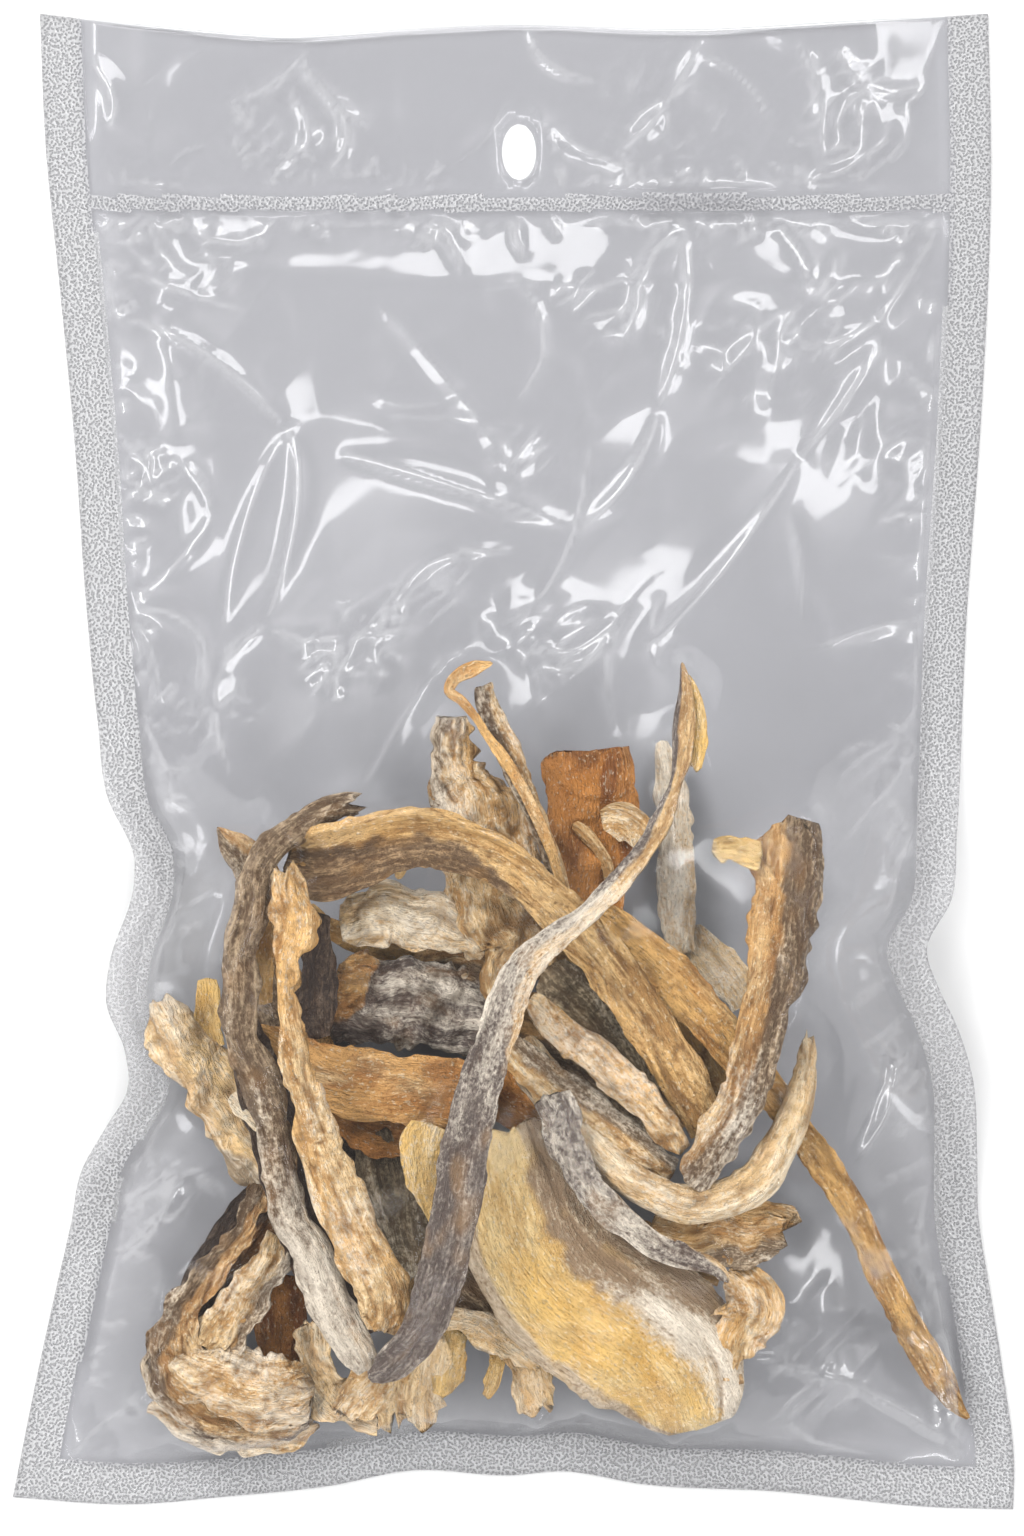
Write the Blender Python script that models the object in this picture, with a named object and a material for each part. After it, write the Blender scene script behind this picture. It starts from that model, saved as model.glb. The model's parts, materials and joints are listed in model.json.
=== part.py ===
"""Clear heat-sealed pouch of salted dried cod strips, lying on its back with the shown side up.

The pouch is one closed solid out to its film: two flat side seals, a flat bottom seal, a header with a
hang hole above a narrow seal line, and a front film that is drawn tight over the strips of fish inside.
Metres, +Z up. The origin is on the surface that the pouch lies on, under the middle of its box.
+X is the shown side's right and +Y runs up the pouch to its header.
"""

import bmesh
import bpy
import numpy as np

MM = 0.001

# Film and seals, in millimetres.
SEAL_WIDTH = 8.0
SEAL_THICKNESS = 1.2
SEAL_LINE_Y = 111.6
SEAL_LINE_WIDTH = 3.0
HEADER_PUFF = 3.0
BODY_PUFF = 6.0
PUFF_RUN = 14.0
TOP_EDGE_GAP = 3.5
TIED_REACH = 0.05
FILM_GAP = 1.0

# The film is pulled in beside the heap of fish, which lifts the side seals off the table there.
EDGE_LIFT = 11.0
EDGE_LIFT_Y = -44.0
EDGE_LIFT_SPAN = 30.0
BACK_CURL_WIDTH = 26.0
LEAST_LIFT = 0.4

# Hang hole: an upright oval.
HOLE_CENTRE = (1.1, 121.9)
HOLE_SIZE = (6.8, 11.2)
HOLE_SIDES = 20
CUTTER_DEPTH = 60.0

# Faces across and along the film inside the seals, and across one seal.
FACES_ACROSS = 42
FACES_ALONG = 62
FACES_IN_SEAL = 2

# Outline of the pouch: x of each side edge at y, and y of the top and bottom edges at x.
LEFT_EDGE = (
    (-147.1, -100.1), (-121.1, -94.9), (-104.7, -91.3), (-91.7, -88.3), (-81.9, -86.3), (-72.7, -81.1),
    (-65.7, -76.9), (-57.7, -77.1), (-47.7, -80.7), (-40.3, -80.1), (-24.7, -75.5), (-19.3, -75.5),
    (-6.9, -81.1), (7.5, -83.1), (34.3, -85.7), (60.3, -87.5), (94.3, -90.7), (122.3, -93.5), (149.5, -94.7),
)
RIGHT_EDGE = (
    (-149.5, 99.9), (-140.7, 100.1), (-121.1, 97.7), (-104.7, 95.1), (-90.7, 92.9), (-78.7, 92.5),
    (-62.3, 91.1), (-52.5, 87.9), (-44.1, 83.9), (-37.7, 81.9), (-27.1, 87.1), (-15.3, 88.3),
    (30.3, 90.7), (71.9, 93.7), (118.3, 95.5), (149.5, 94.9),
)
BOTTOM_EDGE = (
    (-100.1, -147.1), (-76.5, -148.5), (-56.9, -146.9), (-37.3, -144.9), (-20.0, -141.7), (-0.3, -142.7),
    (9.5, -141.9), (25.9, -144.5), (52.0, -145.9), (84.5, -149.1), (99.9, -149.5),
)
TOP_EDGE = (
    (-94.7, 149.5), (-70.7, 146.7), (-43.3, 144.7), (-22.7, 146.1), (-4.7, 147.1), (37.9, 146.1),
    (57.3, 147.1), (94.9, 149.5),
)

# The strips that hold the film up: half width, and the (x, y, top z) of the points along each.
STRIPS = {
    "grey_diagonal": (5.0, ((34, 19, 36), (36, 5, 38), (22, -24, 42), (1, -43, 44), (-7, -70, 45),
                            (-15, -100, 42), (-28, -121, 33))),
    "left_loop": (5.0, ((-29, -8, 30), (-50, -24, 36), (-55, -46, 37), (-46, -86, 35), (-28, -120, 30))),
    "top_band": (6.5, ((-46, -21, 30), (-19, -15, 36), (7, -29, 37), (37, -70, 31))),
    "cream_upright": (5.0, ((-46, -20, 39), (-45, -48, 41), (-36, -82, 40), (-24, -111, 36))),
    "long_stick": (4.0, ((17, -30, 28), (51, -65, 26), (71, -98, 18), (90, -131, 8))),
    "right_upright": (6.5, ((58, -11, 33), (56, -40, 38), (52, -58, 39), (35, -81, 36))),
    "lower_loop": (4.5, ((57, -58, 30), (50, -84, 35), (25, -85, 35), (2, -55, 27))),
    "belly_slab": (16.0, ((-12, -80, 31), (5, -94, 32), (35, -118, 25))),
    "left_lump": (6.0, ((-73, -50, 18), (-60, -71, 19), (-50, -81, 18))),
    "folded_skin": (6.0, ((-50, -87, 22), (-69, -112, 18), (-66, -127, 11), (-37, -126, 13))),
    "crumbly_flesh": (9.0, ((-7, 12, 25), (-10, -2, 28), (1, -34, 32))),
}
SAMPLES_PER_STRIP = 40
STRIP_ROUNDNESS = 0.85

# Long stiff folds of the film: the ends of each ridge and its height.
FOLDS = (
    ((-84, 107), (-78, 88), 2.0), ((-78, 88), (-45, 65), 3.4), ((-45, 65), (-48, 26), 3.2),
    ((-48, 26), (-21, 32), 2.4), ((-48, 26), (-33, -4), 2.4), ((-79, 32), (-61, 12), 2.6),
    ((-34, 61), (13, 45), 3.2), ((13, 45), (29, 72), 2.8), ((29, 72), (35, 107), 3.2),
    ((87, 110), (71, 83), 3.2), ((71, 83), (45, 79), 2.6), ((71, 83), (45, 48), 3.4),
    ((45, 48), (25, 21), 2.8), ((84, 6), (63, -18), 2.4), ((75, -54), (67, -79), 2.6),
    ((45, -117), (71, -126), 2.2), ((71, -126), (91, -140), 2.0), ((-90, -140), (-63, -125), 2.4),
    ((-83, -101), (-67, -78), 2.4), ((37, 145), (22, 123), 1.6), ((56, 144), (62, 117), 1.6),
    ((-43, 143), (-29, 126), 1.4), ((64, 144), (87, 135), 1.6),
)
FOLD_HALF_WIDTH = 8.0
FOLD_FADE = 5.0
RELAX_STEPS = 700
AIR_LIFT = 0.012


def clear_scene():
    """Empties the scene."""
    for old in list(bpy.data.objects):
        bpy.data.objects.remove(old)


def collection(name):
    """A new collection in the scene."""
    made = bpy.data.collections.new(name)
    bpy.context.scene.collection.children.link(made)
    return made


def move_to(obj, home):
    """Puts an object in one collection only."""
    for other in list(obj.users_collection):
        other.objects.unlink(obj)
    home.objects.link(obj)


def through(knots, at):
    """A smooth curve through knots of (place, value), read at the given places."""
    places, values = np.array(knots, float).T
    slopes = np.gradient(values, places)
    low = np.clip(np.searchsorted(places, at) - 1, 0, len(places) - 2)
    span = places[low + 1] - places[low]
    share = np.clip((at - places[low]) / span, 0.0, 1.0)
    rise = values[low + 1] - values[low]
    start, end = slopes[low] * span, slopes[low + 1] * span
    return values[low] + share * start + share**2 * (3 * rise - 2 * start - end) + share**3 * (
        start + end - 2 * rise
    )


def ease(share):
    """0 below 0, 1 above 1, and smooth between."""
    share = np.clip(share, 0.0, 1.0)
    return share * share * (3 - 2 * share)


def plan(across, along):
    """x and y of the film at shares of its width and length, fitted between its four edges."""
    left_y = LEFT_EDGE[0][0] + along * (LEFT_EDGE[-1][0] - LEFT_EDGE[0][0])
    right_y = RIGHT_EDGE[0][0] + along * (RIGHT_EDGE[-1][0] - RIGHT_EDGE[0][0])
    bottom_x = BOTTOM_EDGE[0][0] + across * (BOTTOM_EDGE[-1][0] - BOTTOM_EDGE[0][0])
    top_x = TOP_EDGE[0][0] + across * (TOP_EDGE[-1][0] - TOP_EDGE[0][0])
    left_x, right_x = through(LEFT_EDGE, left_y), through(RIGHT_EDGE, right_y)
    bottom_y, top_y = through(BOTTOM_EDGE, bottom_x), through(TOP_EDGE, top_x)
    x = (1 - across) * left_x + across * right_x + (1 - along) * bottom_x + along * top_x
    y = (1 - across) * left_y + across * right_y + (1 - along) * bottom_y + along * top_y
    x -= (1 - across) * ((1 - along) * LEFT_EDGE[0][1] + along * LEFT_EDGE[-1][1])
    x -= across * ((1 - along) * RIGHT_EDGE[0][1] + along * RIGHT_EDGE[-1][1])
    y -= (1 - across) * ((1 - along) * BOTTOM_EDGE[0][1] + along * TOP_EDGE[0][1])
    y -= across * ((1 - along) * BOTTOM_EDGE[-1][1] + along * TOP_EDGE[-1][1])
    return x, y


def spaced(length, faces_inside, top_seal):
    """Shares of a length where the film has a row of corners: close in the seals, even between them."""
    seal = SEAL_WIDTH / length
    last = 1 - seal if top_seal else 1.0
    low = np.linspace(0, seal, FACES_IN_SEAL + 1)[:-1]
    inside = np.linspace(seal, last, faces_inside + 1)
    high = np.linspace(last, 1, FACES_IN_SEAL + 1)[1:] if top_seal else []
    return np.concatenate([low, inside, high])


def back_height(x, y, from_side):
    """z of the back film: flat on the table, and curling up to the side seals beside the heap."""
    lift = EDGE_LIFT * np.exp(-(((y - EDGE_LIFT_Y) / EDGE_LIFT_SPAN) ** 2))
    lift = lift * (1 - ease(from_side / BACK_CURL_WIDTH))
    return np.where(lift > LEAST_LIFT, lift - LEAST_LIFT, 0.0)


def heap_height(x, y):
    """Height of the strips under the film at each place, or 0 where there are none."""
    height = np.zeros_like(x)
    for half_width, points in STRIPS.values():
        points = np.array(points, float)
        steps = np.arange(len(points))
        at = np.linspace(0, len(points) - 1, SAMPLES_PER_STRIP)
        line = [through(np.column_stack([steps, points[:, k]]), at) for k in range(3)]
        for px, py, pz in zip(*line):
            away = np.hypot(x - px, y - py) / half_width
            cap = pz + FILM_GAP - STRIP_ROUNDNESS * half_width * away**2
            height = np.where(away < 1.0, np.maximum(height, cap), height)
    return height


def fold_height(x, y):
    """Height of the sharp folds in the film: each is a straight ridge that falls away evenly."""
    height = np.zeros_like(x)
    for (x0, y0), (x1, y1), rise in FOLDS:
        run = np.array([x1 - x0, y1 - y0], float)
        share = ((x - x0) * run[0] + (y - y0) * run[1]) / (run @ run)
        nearest = np.clip(share, 0.0, 1.0)
        away = np.hypot(x - x0 - nearest * run[0], y - y0 - nearest * run[1])
        height = np.maximum(height, rise * (1 - away / FOLD_HALF_WIDTH))
    return height


def front_height(x, y, back, from_edge, from_top):
    """z of the front film: a tight skin over the strips, tied down at the seals and the seal line."""
    in_header = y > SEAL_LINE_Y + SEAL_LINE_WIDTH
    from_line = np.abs(y - SEAL_LINE_Y) - SEAL_LINE_WIDTH / 2
    tied = (from_edge < TIED_REACH) | (from_line < 0)
    floor = back + SEAL_THICKNESS
    free_run = np.minimum(np.minimum(from_edge, from_line), from_top + TOP_EDGE_GAP)
    puff = np.where(in_header, HEADER_PUFF, BODY_PUFF) * ease(free_run / PUFF_RUN)
    least = np.where(tied, floor, np.maximum(floor + puff, heap_height(x, y)))
    z = least.copy()
    for _ in range(RELAX_STEPS):
        mean = z.copy()
        mean[1:-1, 1:-1] = (z[:-2, 1:-1] + z[2:, 1:-1] + z[1:-1, :-2] + z[1:-1, 2:]) / 4 + AIR_LIFT
        z = np.where(tied, floor, np.maximum(least, mean))
    folds = fold_height(x, y) * ease(free_run / FOLD_FADE)
    return z + folds


def film_shape():
    """x, y, front z and back z of every corner of the film, each as [across, along]."""
    width = TOP_EDGE[-1][0] - TOP_EDGE[0][0]
    length = LEFT_EDGE[-1][0] - LEFT_EDGE[0][0]
    across = spaced(width, FACES_ACROSS, True)
    along = spaced(length, FACES_ALONG, False)
    s, t = np.meshgrid(across, along, indexing="ij")
    x, y = plan(s, t)
    from_side = np.minimum(s, 1 - s) * width
    from_edge = np.minimum(from_side, t * length) - SEAL_WIDTH
    from_top = (1 - t) * length
    back = back_height(x, y, from_side)
    return x, y, front_height(x, y, back, from_edge, from_top), back


def divided_box():
    """A unit cube primitive whose top and bottom are divided into the film's rows of faces."""
    bpy.ops.mesh.primitive_cube_add(size=1)
    box = bpy.context.object
    mesh = bmesh.new()
    mesh.from_mesh(box.data)
    cuts = (FACES_ACROSS + 2 * FACES_IN_SEAL - 1, FACES_ALONG + FACES_IN_SEAL - 1)
    for axis in (0, 1):
        runs = [e for e in mesh.edges if abs(e.verts[0].co[axis] - e.verts[1].co[axis]) > 0.5]
        bmesh.ops.subdivide_edges(mesh, edges=runs, cuts=cuts[axis], use_grid_fill=True)
    mesh.to_mesh(box.data)
    mesh.free()
    return box, cuts


def make_pouch(home):
    """The pouch out to its film, as one closed body."""
    pouch, cuts = divided_box()
    pouch.name = "clear_pouch"
    move_to(pouch, home)
    x, y, front, back = film_shape()
    x -= (x.min() + x.max()) / 2
    y -= (y.min() + y.max()) / 2
    for corner in pouch.data.vertices:
        i = round((corner.co.x + 0.5) * (cuts[0] + 1))
        j = round((corner.co.y + 0.5) * (cuts[1] + 1))
        z = front[i, j] if corner.co.z > 0 else back[i, j]
        corner.co = (x[i, j] * MM, y[i, j] * MM, z * MM)
    pouch.data.shade_smooth()
    return pouch


def make_hole_cutter(home):
    """The oval bar that the hang hole is cut with."""
    bpy.ops.mesh.primitive_cylinder_add(vertices=HOLE_SIDES, radius=0.5, depth=1)
    cutter = bpy.context.object
    cutter.name = "hang_hole_cutter"
    cutter.scale = (HOLE_SIZE[0] * MM, HOLE_SIZE[1] * MM, CUTTER_DEPTH * MM)
    cutter.location = (HOLE_CENTRE[0] * MM, HOLE_CENTRE[1] * MM, 0)
    cutter.hide_render = True
    cutter.display_type = "WIRE"
    move_to(cutter, home)
    return cutter


def film_material():
    """Clear film with a cool grey cast."""
    film = bpy.data.materials.new("clear_film")
    film.use_nodes = True
    shader = film.node_tree.nodes["Principled BSDF"]
    shader.inputs["Base Color"].default_value = (0.72, 0.72, 0.75, 1)
    shader.inputs["Roughness"].default_value = 0.12
    shader.inputs["Metallic"].default_value = 0.0
    shader.inputs["Alpha"].default_value = 0.35
    return film


def main():
    clear_scene()
    parts = collection("dried_cod_pouch")
    cutters = collection("cutters")
    pouch = make_pouch(parts)
    pouch.data.materials.append(film_material())
    hole = pouch.modifiers.new("hang_hole", "BOOLEAN")
    hole.operation = "DIFFERENCE"
    hole.object = make_hole_cutter(cutters)
    hole.solver = "EXACT"


main()
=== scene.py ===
"""Salted dried cod in a clear heat-sealed pouch: the film with its seals, and the strips of fish inside.

The file is laid out as a Blender add-on and is run as a script. Lengths in the tables are millimetres.
The pouch lies on its back on the table, with +X to its right, +Y up to its header and +Z up. The points
of each piece are where it shows when seen from straight above the middle of the pouch.
"""

import json
import math

import bpy
import numpy as np
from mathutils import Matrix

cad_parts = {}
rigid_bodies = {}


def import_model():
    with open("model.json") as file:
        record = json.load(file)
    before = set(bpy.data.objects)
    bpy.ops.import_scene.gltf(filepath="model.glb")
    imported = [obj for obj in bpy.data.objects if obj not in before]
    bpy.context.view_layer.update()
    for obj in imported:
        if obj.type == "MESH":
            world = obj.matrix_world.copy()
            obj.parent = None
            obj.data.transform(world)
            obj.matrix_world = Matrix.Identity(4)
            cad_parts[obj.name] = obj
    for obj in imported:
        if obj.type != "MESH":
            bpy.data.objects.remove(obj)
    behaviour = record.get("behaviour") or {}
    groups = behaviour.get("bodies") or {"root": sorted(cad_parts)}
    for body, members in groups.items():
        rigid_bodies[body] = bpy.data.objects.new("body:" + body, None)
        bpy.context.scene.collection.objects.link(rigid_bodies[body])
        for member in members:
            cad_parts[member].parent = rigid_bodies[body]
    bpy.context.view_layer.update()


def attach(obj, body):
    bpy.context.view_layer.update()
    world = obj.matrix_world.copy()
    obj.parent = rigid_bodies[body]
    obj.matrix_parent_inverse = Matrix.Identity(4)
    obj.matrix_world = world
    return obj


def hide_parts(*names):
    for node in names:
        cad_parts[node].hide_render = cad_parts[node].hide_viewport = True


bl_info = {
    "name": "Dried cod pouch",
    "version": (1, 0, 0),
    "blender": (4, 5, 0),
    "location": "View3D > Sidebar > Cod pouch",
    "description": "Builds a clear pouch of salted dried cod strips over its solid",
    "category": "Object",
}

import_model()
MM = 0.001

# The eye is straight above this point, at this height, and pieces are placed by where it sees them.
EYE_X, EYE_Y, EYE_Z = -0.3, -1.3, 1152.0
SENSOR_LONG_SIDE = 36.0

# The floor, in metres: its size, and its height just under the table's zero, so that the two don't flicker.
FLOOR_SIZE = 8.0
FLOOR_Z = -0.0003
FARTHEST_SEEN = 20.0

# Outline of the pouch: x of each side edge at y, and y of the top and bottom edges at x.
LEFT_EDGE = (
    (-147.1, -100.1), (-121.1, -94.9), (-104.7, -91.3), (-91.7, -88.3), (-81.9, -86.3), (-72.7, -81.1),
    (-65.7, -76.9), (-57.7, -77.1), (-47.7, -80.7), (-40.3, -80.1), (-24.7, -75.5), (-19.3, -75.5),
    (-6.9, -81.1), (7.5, -83.1), (34.3, -85.7), (60.3, -87.5), (94.3, -90.7), (122.3, -93.5),
    (149.5, -94.7),
)
RIGHT_EDGE = (
    (-149.5, 99.9), (-140.7, 100.1), (-121.1, 97.7), (-104.7, 95.1), (-90.7, 92.9), (-78.7, 92.5),
    (-62.3, 91.1), (-52.5, 87.9), (-44.1, 83.9), (-37.7, 81.9), (-27.1, 87.1), (-15.3, 88.3),
    (30.3, 90.7), (71.9, 93.7), (118.3, 95.5), (149.5, 94.9),
)
BOTTOM_EDGE = (
    (-100.1, -147.1), (-76.5, -148.5), (-56.9, -146.9), (-37.3, -144.9), (-20.0, -141.7), (-0.3, -142.7),
    (9.5, -141.9), (25.9, -144.5), (52.0, -145.9), (84.5, -149.1), (99.9, -149.5),
)
TOP_EDGE = (
    (-94.7, 149.5), (-70.7, 146.7), (-43.3, 144.7), (-22.7, 146.1), (-4.7, 147.1), (37.9, 146.1),
    (57.3, 147.1), (94.9, 149.5),
)
WIDTH = TOP_EDGE[-1][0] - TOP_EDGE[0][0]
LENGTH = LEFT_EDGE[-1][0] - LEFT_EDGE[0][0]
SEAL_WIDTH = 8.0
SEAL_THICKNESS = 0.5
SEAL_LINE_Y = 111.6
SEAL_LINE_WIDTH = 3.0
HOLE_CENTRE = (1.1, 121.9)
HOLE_SIZE = (6.8, 11.2)
# The two sheets are welded round the hole out to this share of its size.
HOLE_RIM = 1.25
# Open edges of the sheets nearer to the hole's middle than this belong to the hole.
NEAR_HOLE = 12

# The film is pulled in beside the heap, which lifts the side seals off the table there.
EDGE_LIFT = 11.0
EDGE_LIFT_Y = -44.0
EDGE_LIFT_SPAN = 30.0
BACK_CURL_WIDTH = 26.0

# Places worked out along the way of a piece.
ROUTE_STEPS = 400
# Fewest and most corners round a piece, and how many there are for each grain of its widest half.
LEAST_AROUND, MOST_AROUND = 24, 128
AROUND_SHARE = 4.4
LEAST_RINGS = 12
# Crumpled fish: how wide its dents are, and how far they shift it across, along and up.
CRUMPLE_SIZE = 6.5
CRUMPLE_SHARES = (0.45, 0.45, 1.0)
# How a ball is flattened into a strip: below 1, its edges and its faces turn squarer.
EDGE_FLATNESS = 0.8
FACE_FLATNESS = 0.6
# Width of the coarse and the fine teeth of a torn end.
TOOTH_WIDTH = 1.3
FINE_TOOTH_WIDTH = 0.5
# The lowest that a place on a piece may lie over the table, about.
LEAST_HEIGHT = 1.6

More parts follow.
